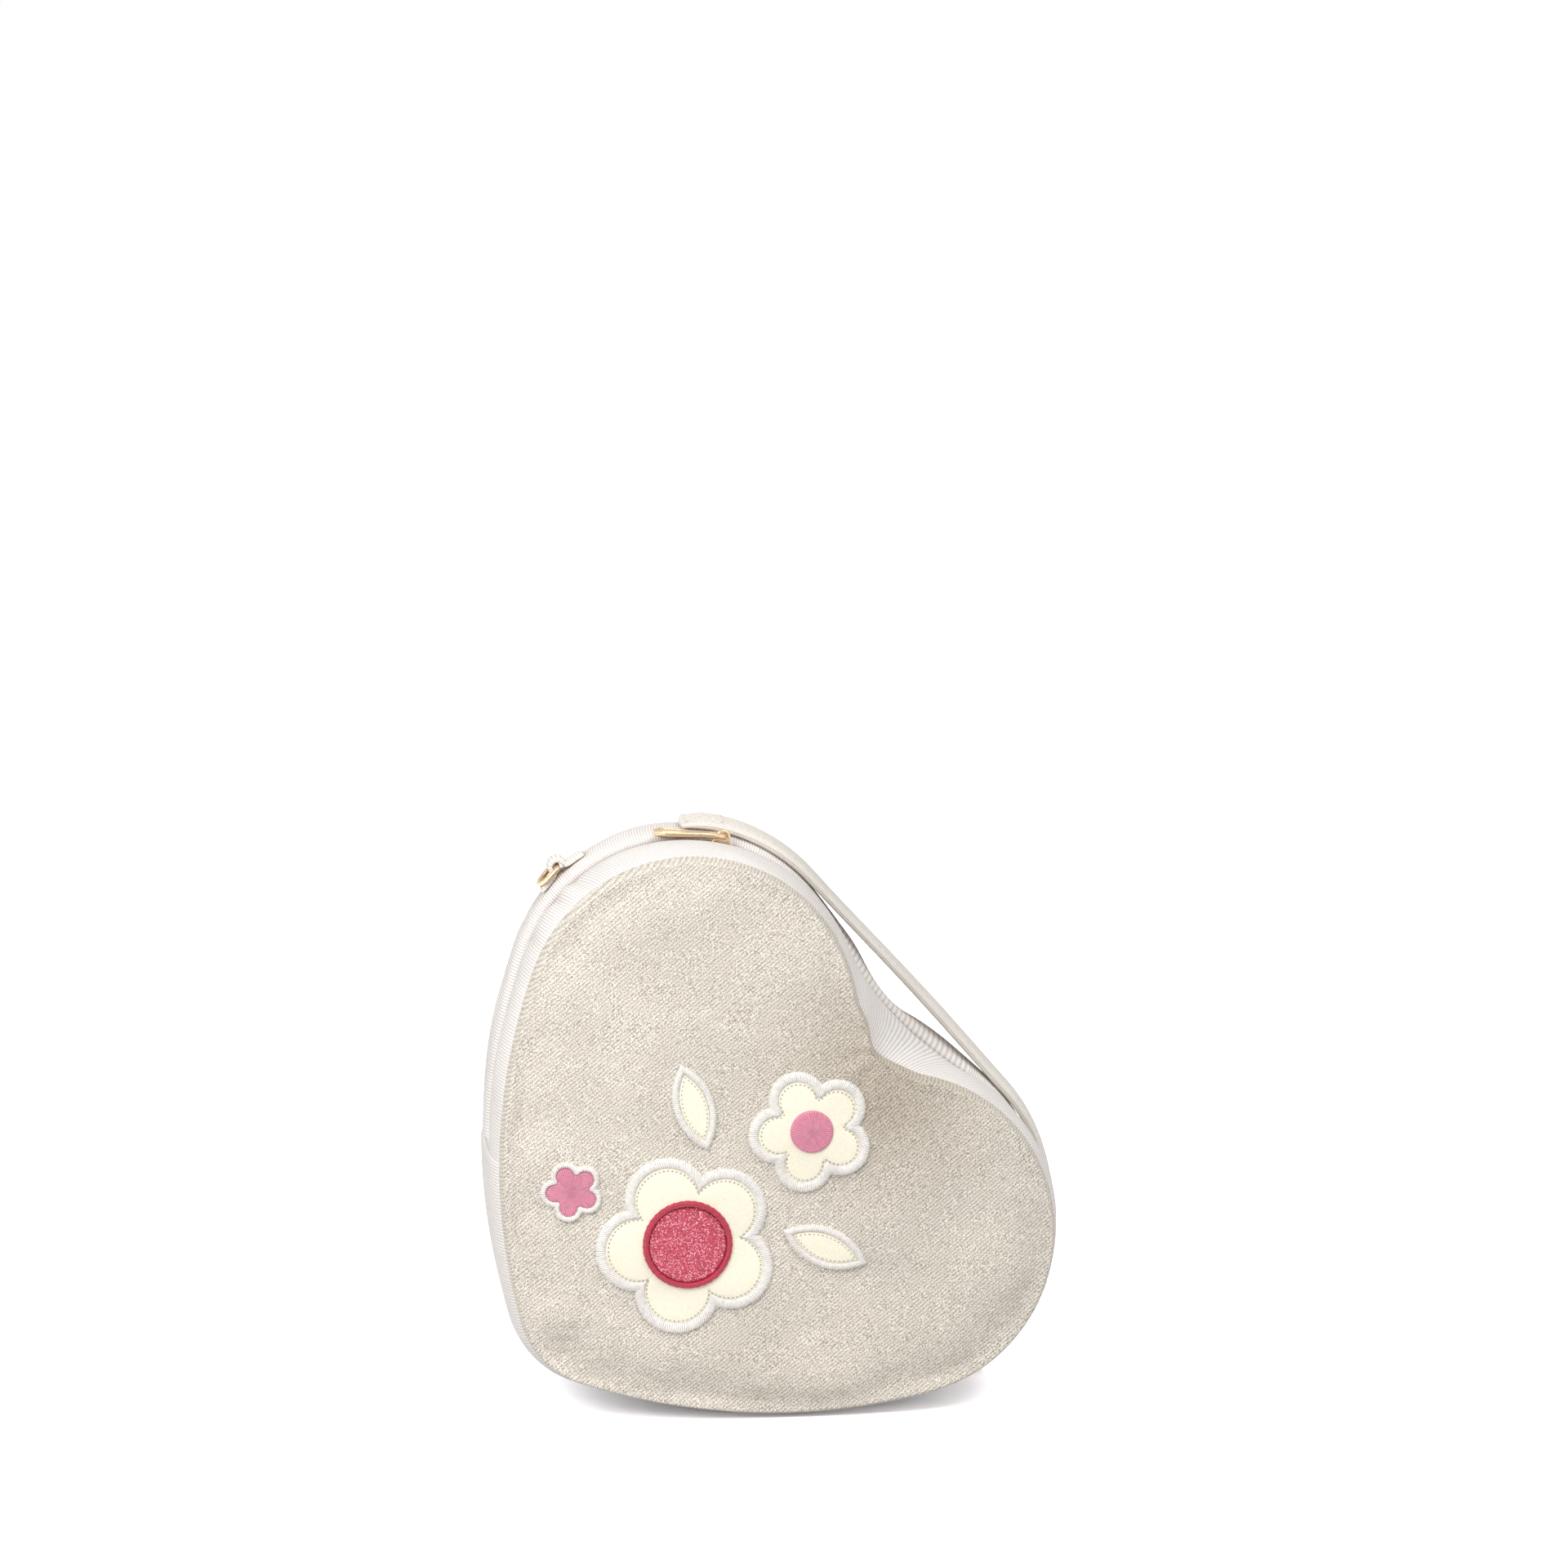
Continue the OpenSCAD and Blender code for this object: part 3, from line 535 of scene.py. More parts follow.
def ring_rows(line, side, stations, wrinkled, lift):
    """Rows of the band: one at each point of its section, pressed flat where they reach the floor."""
    rows = []
    for out, depth in line:
        row = outline(out + lift, side*depth)[stations % ROUND]
        if wrinkled:
            away = outline(out + lift + mm, side*depth)[stations % ROUND] - row
            row = row + away*band_wrinkles(stations, depth, side)[:, None]
        place = posed(row, side*depth)
        place[:, 2] = np.maximum(place[:, 2], FLOOR_GAP)
        rows.append(place)
    return rows


OUTLINE_RUN = lengths(outline(0, SEAM_Y))


def outward_of_bag(p):
    middle = posed(HEART_MIDDLE, 0)
    return Vector((p.x - middle[0], 0, p.z - middle[2]))


# Ribbed velour: ribs of pile over a cross weave. The finest ribs of the real cloth are closer than the 1.1 mm
# of the side bands, which are drawn coarser so that they show.
CROSS_PITCH = 0.9*mm
PILE_GRAIN = 1.1111*mm
WORN_PATCH = 29.41*mm


def ribbed_velour(name, pile, valley, shade, axis, pitch):
    material = new_material(name)
    place = add_node(material, "TexCoord")
    rib = add_node(material, "TexWave",
                   {"bands_direction": axis, "Scale": bands(pitch), "Distortion": 0.5, "Detail": 1.0,
                    "Detail Scale": 0.6}, {"Vector": (place, "UV")})
    cross = add_node(material, "TexWave",
                     {"bands_direction": "Y" if axis == "X" else "X", "Scale": bands(CROSS_PITCH),
                      "Distortion": 1.2, "Detail": 1.0}, {"Vector": (place, "UV")})
    fluff = add_node(material, "TexNoise", {"Scale": 1/PILE_GRAIN, "Detail": 2.0},
                     {"Vector": (place, "Object")})
    patch = add_node(material, "TexNoise", {"Scale": 1/WORN_PATCH, "Detail": 2.0},
                     {"Vector": (place, "Object")})
    woven = add_node(material, "Math", {"operation": "MULTIPLY_ADD", 1: 0.34},
                     {0: (cross, "Fac"), 2: (rib, "Fac")})
    height = add_node(material, "Math", {"operation": "MULTIPLY_ADD", 1: 0.5},
                      {0: (fluff, "Fac"), 2: (woven, "Value")})
    share = add_node(material, "MapRange", {"From Min": 0.25, "From Max": 1.5}, {"Value": (height, "Value")})
    tone = add_node(material, "ValToRGB", {"ramp": [(0, valley), (0.45, shade), (1, pile)]},
                    {"Fac": (share, "Result")})
    worn = add_node(material, "MapRange",
                    {"From Min": 0.3, "From Max": 0.7, "To Min": 0.95, "To Max": 1.03},
                    {"Value": (patch, "Fac")})
    tint = add_node(material, "VectorMath", {"operation": "SCALE"},
                    {0: (tone, "Color"), "Scale": (worn, "Result")})
    bump = add_node(material, "Bump", {"Strength": 0.35, "Distance": 0.3*mm}, {"Height": (height, "Value")})
    return surfaced(material, {"Roughness": 0.9, "Specular IOR Level": 0.25, "Sheen Weight": 0.3,
                               "Sheen Roughness": 0.35, "Sheen Tint": linear("#f6efe9")},
                    {"Base Color": (tint, "Vector"), "Normal": (bump, "Normal")})


side_velour = ribbed_velour("pale_ribbed_velour", "#fbf8f5", "#cbc2ba", "#efe9e4", "X", 1.1*mm)


def side_band(side, name, body):
    stations = np.arange(ZIP_FROM, ZIP_TO + 1)
    line = smooth_line(np.array(FRONT_CONTROL if side < 0 else BACK_CONTROL)*mm, 3)
    rows = ring_rows(line, side, stations, True, 0)
    piece = laid(name, rows, OUTLINE_RUN[stations], lengths(line), outward_of_bag)
    piece.data.materials.append(side_velour)
    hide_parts(name.replace("_velour", ""))
    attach(piece, body)


side_band(-1, "front_velour_band", "front_shell")
side_band(1, "back_velour_band", "back_shell")

stations = np.arange(ZIP_TO - SPINE_OVERLAP, ROUND + ZIP_FROM + SPINE_OVERLAP + 1)
half_line = smooth_line(np.array(SPINE_CONTROL)*mm, 3)
line = np.concatenate([half_line, half_line[-2::-1]*[1, -1]])
rows = np.array(ring_rows(line, 1, stations, False, SPINE_RISE))
deep = np.array(ring_rows(line, 1, stations, False, -SPINE_TUCK))
# Its two ends are folded under: the last rows dive towards the bands that they cover
for k, share in enumerate((0.8, 0.12)):
    rows[:, k] += (deep[:, k] - rows[:, k])*share
    rows[:, -1 - k] += (deep[:, -1 - k] - rows[:, -1 - k])*share
along = OUTLINE_RUN[stations % ROUND] + np.where(stations < ROUND, 0, OUTLINE_RUN[-1])
spine = laid("velour_spine", rows, along, lengths(line), outward_of_bag)
spine.data.materials.append(side_velour)
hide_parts("back_spine", "front_spine")
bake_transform(spine)

# Zip tapes.
# Two woven polyester tapes sewn under the rolled edges of the bands. Only their ribbed inner margins show
# beside the teeth.
TAPE_LINE = [(-2.6, 12.9), (-2.6, 7.5), (-2.6, 2.2), (-2.75, 1.9), (-3.05, 1.9), (-3.2, 2.2), (-3.2, 7.5),
             (-3.2, 12.9)]

tape_weave = ribbed_velour("woven_polyester_tape", "#e3dad1", "#b3a79d", "#d3c9c0", "Y", 0.9*mm)


def zip_tape(side, name, body):
    stations = np.arange(ZIP_FROM, ZIP_TO + 1)
    line = np.array(TAPE_LINE)*mm
    rows = [posed(outline(out, side*depth)[stations], side*depth) for out, depth in line]
    piece = laid(name, rows, OUTLINE_RUN[stations], lengths(line), outward_of_bag)
    piece.data.materials.append(tape_weave)
    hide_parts(name.replace("_woven", ""))
    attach(piece, body)


zip_tape(-1, "front_woven_zip_tape", "front_shell")
zip_tape(1, "back_woven_zip_tape", "back_shell")

# Zip teeth and end stops.
# Moulded acetal teeth clasp the beaded edges of both tapes and mesh half a pitch apart. Pressed metal
# stops close both ends.
TOOTH = (2.4*mm, 1.4*mm, 3.1*mm)
TOOTH_OUT = -2.9*mm
TOOTH_PITCH = 4*mm
TOOTH_ROOT = 1.9*mm
TOOTH_ROUND = 0.28*mm
STOP_L = 3*mm
STOP_Y = (0.15*mm, 1.9*mm)
STOP_ROUND = 0.35*mm
ZIP_NOTCH_R, ZIP_NOTCH_C = notch(0)
ZIP_LOBE_END = bearing(ZIP_NOTCH_C - LOBE_C)


def direction(flat):
    """A direction of the heart's plane as it points in the bag."""
    return Vector((flat[0]*math.cos(LEAN) + flat[1]*math.sin(LEAN), 0,
                   flat[1]*math.cos(LEAN) - flat[0]*math.sin(LEAN)))


def frame_of(x, y, z, place):
    """Frame with three axes at a place."""
    return Matrix.Translation(place) @ Matrix((x, y, z)).transposed().to_4x4()


def standing(flat, outward, y):
    """Frame at a point of the outline: x out of the bag, y to the back, z along the zip."""
    x = direction(outward)
    return frame_of(x, (0, 1, 0), x.cross(Vector((0, 1, 0))), posed(flat, y))


def arc_places(centre, radius, start, end, first):
    """Places and outward directions of the teeth of one tape along an arc."""
    pairs = round(abs(end - start)*radius/TOOTH_PITCH)
    for k in range(first, 2*pairs, 2):
        angle = start + (end - start)*(k + 0.5)/(2*pairs)
        way = np.array([math.cos(angle), math.sin(angle)])
        yield centre + radius*way, way


def tooth_places(side):
    first = 0 if side < 0 else 1
    start = ZIP_START + 2*STOP_L/FLANK_R
    for mirror, turn in ((1, first), (-1, 1 - first)):
        for c, r, a, b in ((FLANK_C, FLANK_R + TOOTH_OUT, start, FLANK_END),
                           (LOBE_C, LOBE_R + TOOTH_OUT, FLANK_END, ZIP_LOBE_END)):
            for place, way in arc_places(c, r, a, b, turn):
                yield place*[mirror, 1], way*[mirror, 1]
    start, end = ZIP_LOBE_END - math.pi, -ZIP_LOBE_END
    for place, way in arc_places(ZIP_NOTCH_C, ZIP_NOTCH_R - TOOTH_OUT, start, end, first):
        yield place, -way


def rounded(bm, edges, radius, segments):
    """Rounds edges of a bmesh."""
    bmesh.ops.bevel(bm, geom=list(edges), offset=radius, offset_type="OFFSET", affect="EDGES",
                    segments=segments, profile=0.5, material=-1)


def block(bm, size, frame_matrix, radius, segments):
    """A block in a frame, with rounded edges."""
    made = bmesh.ops.create_cube(bm, size=1, matrix=frame_matrix @ Matrix.Diagonal((*size, 1)))
    rounded(bm, {edge for vertex in made["verts"] for edge in vertex.link_edges}, radius, segments)


# Acetal: moulded and slightly matt, its knuckles catch small soft highlights
acetal = grained("moulded_acetal", [2.381*mm]*3, {"Detail": 2.0}, [(0.3, "#c2b6aa"), (0.7, "#dcd3ca")],
                 {"Roughness": 0.38, "IOR": 1.48})
# Pale gold: polished and lacquered zinc, with faint hairlines that soften its reflections
pale_gold = grained("lacquered_pale_gold", (1.4286*mm, 0.2381*mm, 0.2381*mm), {"Detail": 2.0},
                    [(0.3, "#caab88"), (0.7, "#e2cbab")], {"Metallic": 1.0}, gloss=(0.2, 0.38))


def teeth(side, name, body):
    bm = bmesh.new()
    for flat, way in tooth_places(side):
        y = side*(TOOTH_ROOT - TOOTH[2]/2)
        block(bm, (TOOTH[0], TOOTH[2], TOOTH[1]), standing(flat, way, y), TOOTH_ROUND, 2)
    piece = finished(name, bm)
    piece.data.materials.append(acetal)
    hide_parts(name.replace("_moulded", ""))
    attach(piece, body)


teeth(-1, "front_moulded_zip_teeth", "front_shell")
teeth(1, "back_moulded_zip_teeth", "back_shell")


def end_stops(side, name, body):
    bm = bmesh.new()
    angle = ZIP_START + STOP_L/FLANK_R
    way = np.array([math.cos(angle), math.sin(angle)])
    for mirror in (1, -1):
        flat = (FLANK_C + (FLANK_R + TOOTH_OUT)*way)*[mirror, 1]
        place = standing(flat, way*[mirror, 1], side*sum(STOP_Y)/2)
        block(bm, (TOOTH[0], STOP_Y[1] - STOP_Y[0], STOP_L), place, STOP_ROUND, 3)
    piece = finished(name, bm)
    piece.data.materials.append(pale_gold)
    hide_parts(name.replace("_pressed", ""))
    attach(piece, body)


end_stops(-1, "front_pressed_zip_stops", "front_shell")
end_stops(1, "back_pressed_zip_stops", "back_shell")

# Zip slider and puller.
# A cast zinc slider with an arched bridge, and a flat wedge-shaped puller with a rimmed oval end.
# Its forked neck straddles the bridge on a cross pin. Both are plated pale gold.
SLIDER_ANGLE = 124
SLIDER_L = 10*mm
SLIDER_W = 7.4*mm
PLATE_IN = -1.4*mm
PLATE_OUT = -0.4*mm
PIN_OUT = 3.2*mm
PIN_R = 0.7*mm
BRIDGE_T = 1.8*mm
HOLE_R = 1.0*mm
PULLER_L = 25*mm
PULLER_W = 10*mm
PULLER_T = 1.8*mm
PULLER_DIP = 10
NECK_W = 5.6*mm
NECK_L = 5.4*mm
PIN_L = NECK_W - 0.6*mm
FORK_W = 2.4*mm
# Outline of the plate, in halves of its length and width, and of the bridge, in mm
PLAN = [(-1, -0.62), (-0.85, -0.75), (-0.2, -1), (0.9, -1), (1, -0.9), (1, 0.9), (0.9, 1), (-0.2, 1),
        (-0.85, 0.75), (-1, 0.62)]
BRIDGE = [(-3.8, -0.9), (3.8, -0.9), (3.8, 0.1), (2.0, 4.4), (1.0, 5.2), (-1.0, 5.2), (-2.0, 4.4),
          (-3.8, 0.1)]


def lobe_frame(side, angle):
    """Frame on a lobe: x clockwise round it, y to the back, z out of the bag, from the lobe's centre."""
    a = math.radians(angle)
    x = direction((math.sin(a), -math.cos(a)))
    z = direction((math.cos(a), math.sin(a)))
    return frame_of(x, (0, 1, 0), z, posed([side*LOBE_C[0], LOBE_C[1]], 0))


def extruded(bm, faces, height):
    """Extrudes faces up by a height and returns the faces on top."""
    raised = bmesh.ops.extrude_face_region(bm, geom=faces)["geom"]
    lifted = [g for g in raised if isinstance(g, bmesh.types.BMVert)]
    bmesh.ops.translate(bm, verts=lifted, vec=(0, 0, height))
    return [g for g in raised if isinstance(g, bmesh.types.BMFace)]


def plate(bm, points, thickness, radius, segments):
    """A flat plate of an outline in x and y, up from z = 0, with rounded edges."""
    face = bm.faces.new([bm.verts.new((x, y, 0)) for x, y in points])
    top = extruded(bm, [face], thickness)
    rounded(bm, {edge for f in [face] + top for edge in f.edges}, radius, segments)


def merge(bm, part, matrix):
    """Adds a part's mesh to a bmesh in a frame."""
    bmesh.ops.recalc_face_normals(part, faces=part.faces)
    bmesh.ops.transform(part, matrix=matrix, verts=part.verts)
    if matrix.determinant() < 0:
        bmesh.ops.reverse_faces(part, faces=part.faces)
    mesh = bpy.data.meshes.new("part")
    part.to_mesh(mesh)
    part.free()
    bm.from_mesh(mesh)
    bpy.data.meshes.remove(mesh)


def ray_to(corners, centre, angle):
    """Where a ray from a centre leaves a convex outline."""
    way = np.array([math.cos(angle), math.sin(angle)])
    best = None
    for a, b in zip(corners, corners[1:] + corners[:1]):
        a, b = np.array(a) - centre, np.array(b) - centre
        side = b - a
        cross = way[0]*side[1] - way[1]*side[0]
        if abs(cross) < 1e-15:
            continue
        t = (a[0]*side[1] - a[1]*side[0])/cross
        s = (a[0]*way[1] - a[1]*way[0])/cross
        if t > 0 and -1e-9 <= s <= 1 + 1e-9 and (best is None or t > best):
            best = t
    return centre + way*best


lobe = lobe_frame(-1, SLIDER_ANGLE)
bm = bmesh.new()
part = bmesh.new()
plate(part, [(x*SLIDER_L/2, y*SLIDER_W/2) for x, y in PLAN], PLATE_OUT - PLATE_IN, 0.3*mm, 3)
# Its long edges are cut up, so that the plate bends round the lobe
long_edges = [e for e in part.edges if abs((e.verts[0].co - e.verts[1].co).x) > 2*mm]
bmesh.ops.subdivide_edges(part, edges=long_edges, cuts=5)
for vertex in part.verts:
    r = LOBE_R + PLATE_IN + vertex.co.z
    turn = vertex.co.x/LOBE_R
    vertex.co = Vector((r*math.sin(turn), vertex.co.y, r*math.cos(turn)))
merge(bm, part, lobe)
# The bridge is an arch with a round eye for the puller's pin
part = bmesh.new()
STEPS = 40
centre = np.array([0, PIN_OUT])
arch = [(x*mm, z*mm) for x, z in BRIDGE]
angles = [2*math.pi*k/STEPS for k in range(STEPS)]
outer = [part.verts.new((*ray_to(arch, centre, a), -BRIDGE_T/2)) for a in angles]
inner = [part.verts.new((HOLE_R*math.cos(a), PIN_OUT + HOLE_R*math.sin(a), -BRIDGE_T/2)) for a in angles]
loops = [part.edges.new((ring[k], ring[(k + 1) % STEPS])) for ring in (outer, inner) for k in range(STEPS)]
faces = bmesh.ops.bridge_loops(part, edges=loops)["faces"]
extruded(part, faces, BRIDGE_T)
rims = [e for e in part.edges if e.calc_face_angle(0) > 1.2
        and all(abs(abs(vertex.co.z) - BRIDGE_T/2) < WELD for vertex in e.verts)
        and e.verts[0].co.z*e.verts[1].co.z > 0]
rounded(part, rims, 0.25*mm, 2)
merge(bm, part, lobe @ Matrix.Translation((0, 0, LOBE_R)) @ Matrix.Rotation(math.pi/2, 4, "X"))
slider = finished("cast_zip_slider", bm)
slider.data.materials.append(pale_gold)
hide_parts("zip_slider")
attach(slider, "zip_slider")


def tongue_outline():
    """Outline of the puller in x and y, from its forked neck round its wide end."""
    a = (NECK_L + NECK_W/2, NECK_W/2)
    b = (PULLER_L - PULLER_W/2, PULLER_W/2)
    lean_in = math.asin((b[1] - a[1])/(b[0] - a[0]))
    start = math.pi/2 + lean_in
    shoulder = (a[0] - a[1]*math.sin(lean_in), a[1]*math.cos(lean_in))
    points = [(-PIN_R, FORK_W/2), (NECK_L - FORK_W/3, FORK_W/2), (NECK_L, 0), (NECK_L - FORK_W/3, -FORK_W/2),
              (-PIN_R, -FORK_W/2), (-PIN_R, -NECK_W/2), (NECK_L, -NECK_W/2), (shoulder[0], -shoulder[1])]
    for turn in np.linspace(-start, start, 29):
        points.append((b[0] + b[1]*math.cos(turn), b[1]*math.sin(turn)))
    return points + [shoulder, (NECK_L, NECK_W/2), (-PIN_R, NECK_W/2)]


def headings(path):
    """Unit directions along a row of points."""
    along = np.gradient(path, axis=0)
    return along/np.linalg.norm(along, axis=1)[:, None]


def tube_rows(path, radius, sides, across):
    """Rows of a round tube along a path that lies square to the direction across."""
    path = np.asarray(path, float)
    across = np.asarray(across, float)
    up = np.cross(across, headings(path))
    angles = np.linspace(0, 2*math.pi, sides + 1)
    return [path + radius*(math.cos(t)*up + math.sin(t)*across) for t in angles]


bm = bmesh.new()
part = bmesh.new()
plate(part, tongue_outline(), PULLER_T, 0.35*mm, 3)
pin_frame = lobe @ Matrix.Translation((0, 0, LOBE_R + PIN_OUT))
pin_frame = pin_frame @ Matrix.Rotation(math.radians(-PULLER_DIP), 4, "Y") @ Matrix.Diagonal((-1, 1, 1, 1))
merge(bm, part, pin_frame @ Matrix.Translation((0, 0, -PULLER_T/2)))
part = bmesh.new()
bmesh.ops.create_cone(part, cap_ends=True, segments=24, radius1=PIN_R, radius2=PIN_R, depth=PIN_L)
merge(bm, part, pin_frame @ Matrix.Rotation(math.pi/2, 4, "X"))
puller = finished("plated_zip_puller", bm)
# A raised bead follows the oval end on both faces. Its oval is stretched towards the neck
END_X = PULLER_L - PULLER_W/2
BEAD_R = 0.45*mm
BEAD_SINK = 0.1*mm
OVAL_R = 3.7*mm
OVAL_STRETCH = 3.6*mm
OVAL_STEPS = 48
oval = []
for t in np.linspace(0, 2*math.pi, OVAL_STEPS + 1):
    c = math.cos(t)
    stretch = OVAL_STRETCH*(1 - c)/2 if c < 0 else 0
    oval.append((END_X - stretch + OVAL_R*c, OVAL_R*math.sin(t)))
for face, name in ((1, "upper_bead"), (-1, "lower_bead")):
    path = [pin_frame @ Vector((x, y, face*(PULLER_T/2 - BEAD_SINK))) for x, y in oval]
    across = (pin_frame.to_3x3() @ Vector((0, 0, 1))).normalized()
    rows = tube_rows(path, BEAD_R, 10, across)
    for row in rows:
        row[-1] = row[0]
    bead = laid("puller_" + name, rows, np.arange(len(oval))*mm, np.arange(len(rows))*mm,
                lambda p: p - pin_frame @ Vector((END_X, 0, 0)))
    bead.data.materials.append(pale_gold)
    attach(bead, "zip_puller")
puller.data.materials.append(pale_gold)
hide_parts("zip_puller")
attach(puller, "zip_puller")

# Top handle.
# One strap of the same ribbed velour, folded double over a soft core, so that both edges are round. Two rows
# of stitches hold the fold, and boxes of stitches sew its tapered ends to the back band on each lobe.
STRAP_Y = 13.6*mm
STRAP_W = 16*mm
STRAP_T = 3.6*mm
STRAP_LOW = 2.79*mm
STRAP_HIGH = 4.3*mm
STRAP_END = 42
STRAP_TAPER = 9*mm
STRAP_BOW = 0.6*mm
END_SHARE = 0.45
# Powers that square off the section's edges and faces
EDGE_POWER = 0.42
FACE_POWER = 0.8
HEM = 2.1*mm
SEAM_AT = STRAP_W/2 - HEM
SEWN_DIP = 0.32*mm
SEWN_W = 0.55*mm
STITCH_L = 2.3*mm
STITCH_PITCH = 3.1*mm
THREAD_R = 0.26*mm
BOX_FROM = 2.2*mm
BOX_TO = 15*mm
BOX_STITCH_L = 1.9*mm


def strap_path(out):
    """Path of the strap over the right lobe, straight across the notch and over the left lobe."""
    angles = np.radians(np.linspace(STRAP_END, 90, 46))
    right = LOBE_C + (LOBE_R + out)*np.stack([np.cos(angles), np.sin(angles)], 1)
    share = np.linspace(1, -1, 54)[1:-1]
    rise = LOBE_C[1] + LOBE_R + out + STRAP_BOW*(1 - share**2)**2
    return np.concatenate([right, np.stack([share*LOBE_C[0], rise], 1), right[::-1]*[-1, 1]])


def strap_section(t, share):
    """A point of the strap's rounded section: depth and distance out, for a strap thinned to a share."""
    c, s = math.cos(t), math.sin(t)
    wide = math.copysign(abs(c)**EDGE_POWER, c)
    thick = math.copysign(abs(s)**FACE_POWER, s)
    y = wide*STRAP_W/2
    seat = STRAP_LOW + (STRAP_HIGH - STRAP_LOW)*(y + STRAP_W/2)/STRAP_W
    sewn = bumps(abs(y), [(SEWN_DIP, SEAM_AT, SEWN_W)]) if s > 0 else 0
    return STRAP_Y + y, seat + share*(STRAP_T/2 + thick*STRAP_T/2 - sewn)


STRAP_RUN = lengths(strap_path(STRAP_HIGH))
STRAP_L = STRAP_RUN[-1]
TO_END = np.minimum(STRAP_RUN, STRAP_L - STRAP_RUN)
THIN = END_SHARE + (1 - END_SHARE)*np.clip(TO_END/STRAP_TAPER, 0, 1)**0.8
THIN = THIN - 0.05*np.sin(STRAP_RUN/(17*mm))*np.clip(TO_END/STRAP_TAPER - 1, 0, 1)
around = np.linspace(0, 2*math.pi, 53)
rows = []
for t in around:
    points = np.zeros((len(STRAP_RUN), 3))
    for share in np.unique(THIN):
        y, out = strap_section(t, share)
        here = THIN == share
        points[here] = posed(strap_path(out)[here], y)
    rows.append(points)
rows = np.array(rows)
middle = rows[:-1].mean(0)
# The raw ends are folded in: a short row draws each end together
for k in (0, -1):
    rows[:, k] += (middle[k] - rows[:, k])*0.9
girth = lengths(rows[:, len(STRAP_RUN)//2])
strap = laid("velour_handle", rows, STRAP_RUN, girth, outward_of_bag)
strap_velour = ribbed_velour("folded_ribbed_velour", "#f9f5ed", "#cfc6ba", "#f0eae1", "Y", 1.0*mm)
strap.data.materials.append(strap_velour)
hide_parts("handle")
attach(strap, "back_shell")


def strap_top(run, y):
    """Point, direction along and direction out on the strap's upper face."""
    t = math.acos(math.copysign(min(abs(2*y/STRAP_W), 1)**(1/EDGE_POWER), y))
    place = np.interp(run, STRAP_RUN, np.arange(len(STRAP_RUN)))
    k = min(int(place), len(STRAP_RUN) - 2)
    points = []
    for i in (k, k + 1):
        depth, out = strap_section(t, THIN[i])
        points.append(posed(strap_path(out)[i], depth))
    spot = points[0] + (points[1] - points[0])*(place - k)
    along = Vector(points[1] - points[0]).normalized()
    tilt = Vector((0, STRAP_W, STRAP_HIGH - STRAP_LOW)).normalized()
    across = Vector((0, tilt.y, 0)) + along.cross(Vector((0, 1, 0)))*tilt.z
    out = along.cross(across)
    if out.dot(outward_of_bag(Vector(spot))) < 0:
        out.negate()
    return Vector(spot), along, out.normalized()


def stitch(bm, spot, along, out, length):
    """One stitch: a short bent thread that dips into the cloth at both ends."""
    place = frame_of(along, out.cross(along), out, spot) @ Matrix.Diagonal((length/2, THREAD_R, THREAD_R, 1))
    bmesh.ops.create_uvsphere(bm, u_segments=6, v_segments=5, radius=1,
                              matrix=place @ Matrix.Rotation(math.pi/2, 4, "Y"))


# Thread: twisted polyester, a little shinier than the pile round it
thread = grained("twisted_polyester_thread", [0.3846*mm]*3, {"Detail": 1.0},
                 [(0.35, "#cabfb5"), (0.65, "#efe7df")], {"Roughness": 0.5, "Sheen Weight": 0.2})

bm = bmesh.new()
for y in (-SEAM_AT, SEAM_AT):
    for run in np.linspace(BOX_FROM, STRAP_L - BOX_FROM, int((STRAP_L - 2*BOX_FROM)/STITCH_PITCH) + 1):
        spot, along, out = strap_top(run, y)
        stitch(bm, spot - out*0.02*mm, along, out, STITCH_L)
for start in (BOX_FROM, BOX_TO, STRAP_L - BOX_FROM, STRAP_L - BOX_TO):
    for y in np.linspace(-SEAM_AT, SEAM_AT, 6)[:-1] + SEAM_AT/5:
        spot, along, out = strap_top(start, y)
        stitch(bm, spot, out.cross(along), out, BOX_STITCH_L)
for a, b in ((BOX_FROM, BOX_TO), (STRAP_L - BOX_TO, STRAP_L - BOX_FROM)):
    for turn in (1, -1):
        for share in (np.arange(6) + 0.5)/6:
            spot, along, out = strap_top(a + (b - a)*share, turn*(2*share - 1)*SEAM_AT)
            across = out.cross(along)
            slope = along*(b - a) + across*math.copysign(2*SEAM_AT, turn*across.y)
            stitch(bm, spot, slope.normalized(), out, STITCH_L)
seams = finished("handle_stitching", bm)
seams.data.materials.append(thread)
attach(seams, "back_shell")

# Ring tabs.
# Short lengths of the same velour, drawn paler than the bands as painted light, folded round each ring's bar
# and pinched by a row of stitches. Their feet are sewn along the back band at the widest places of the heart.
TAB_W = 9.4*mm
TAB_T = 2.2*mm
TAB_SEAT = 3.1*mm
RING_Y = 13.6*mm
RING_OUT = 6.1*mm
# The waist parts the feet from the loop
WAIST_OUT = 5*mm
WAIST_W = 0.8*mm
TAB_ROUND = 1.6*mm
TAB_RIPPLE = 1.9*mm
TAB_SEAMS = (-6.6, -3.9, 3.9, 6.6)
TAB_SEAM_W = 6.8*mm
TAB_STITCH_L = 1.7*mm
TAB_STITCH_OUT = 4.8*mm
# Path of the tab's cloth, in mm along the zip and out of the lobe
TAB_PATH = [(-10, 4.0), (-7.5, 4.25), (-4.8, 4.3), (-3.0, 4.6), (-2.45, 5.4), (-2.5, 6.3), (-1.85, 7.9),
            (0, 8.65), (1.85, 7.9), (2.5, 6.3), (2.45, 5.4), (3.0, 4.6), (4.8, 4.3), (7.5, 4.25), (10, 4.0)]
# Painted light: the tabs' velour is a paler copy of the bands' velour
tab_velour_painted_paler = ribbed_velour("folded_tab_velour", "#fffcf7", "#d8cfc6", "#f4eee7", "X", 1.1*mm)


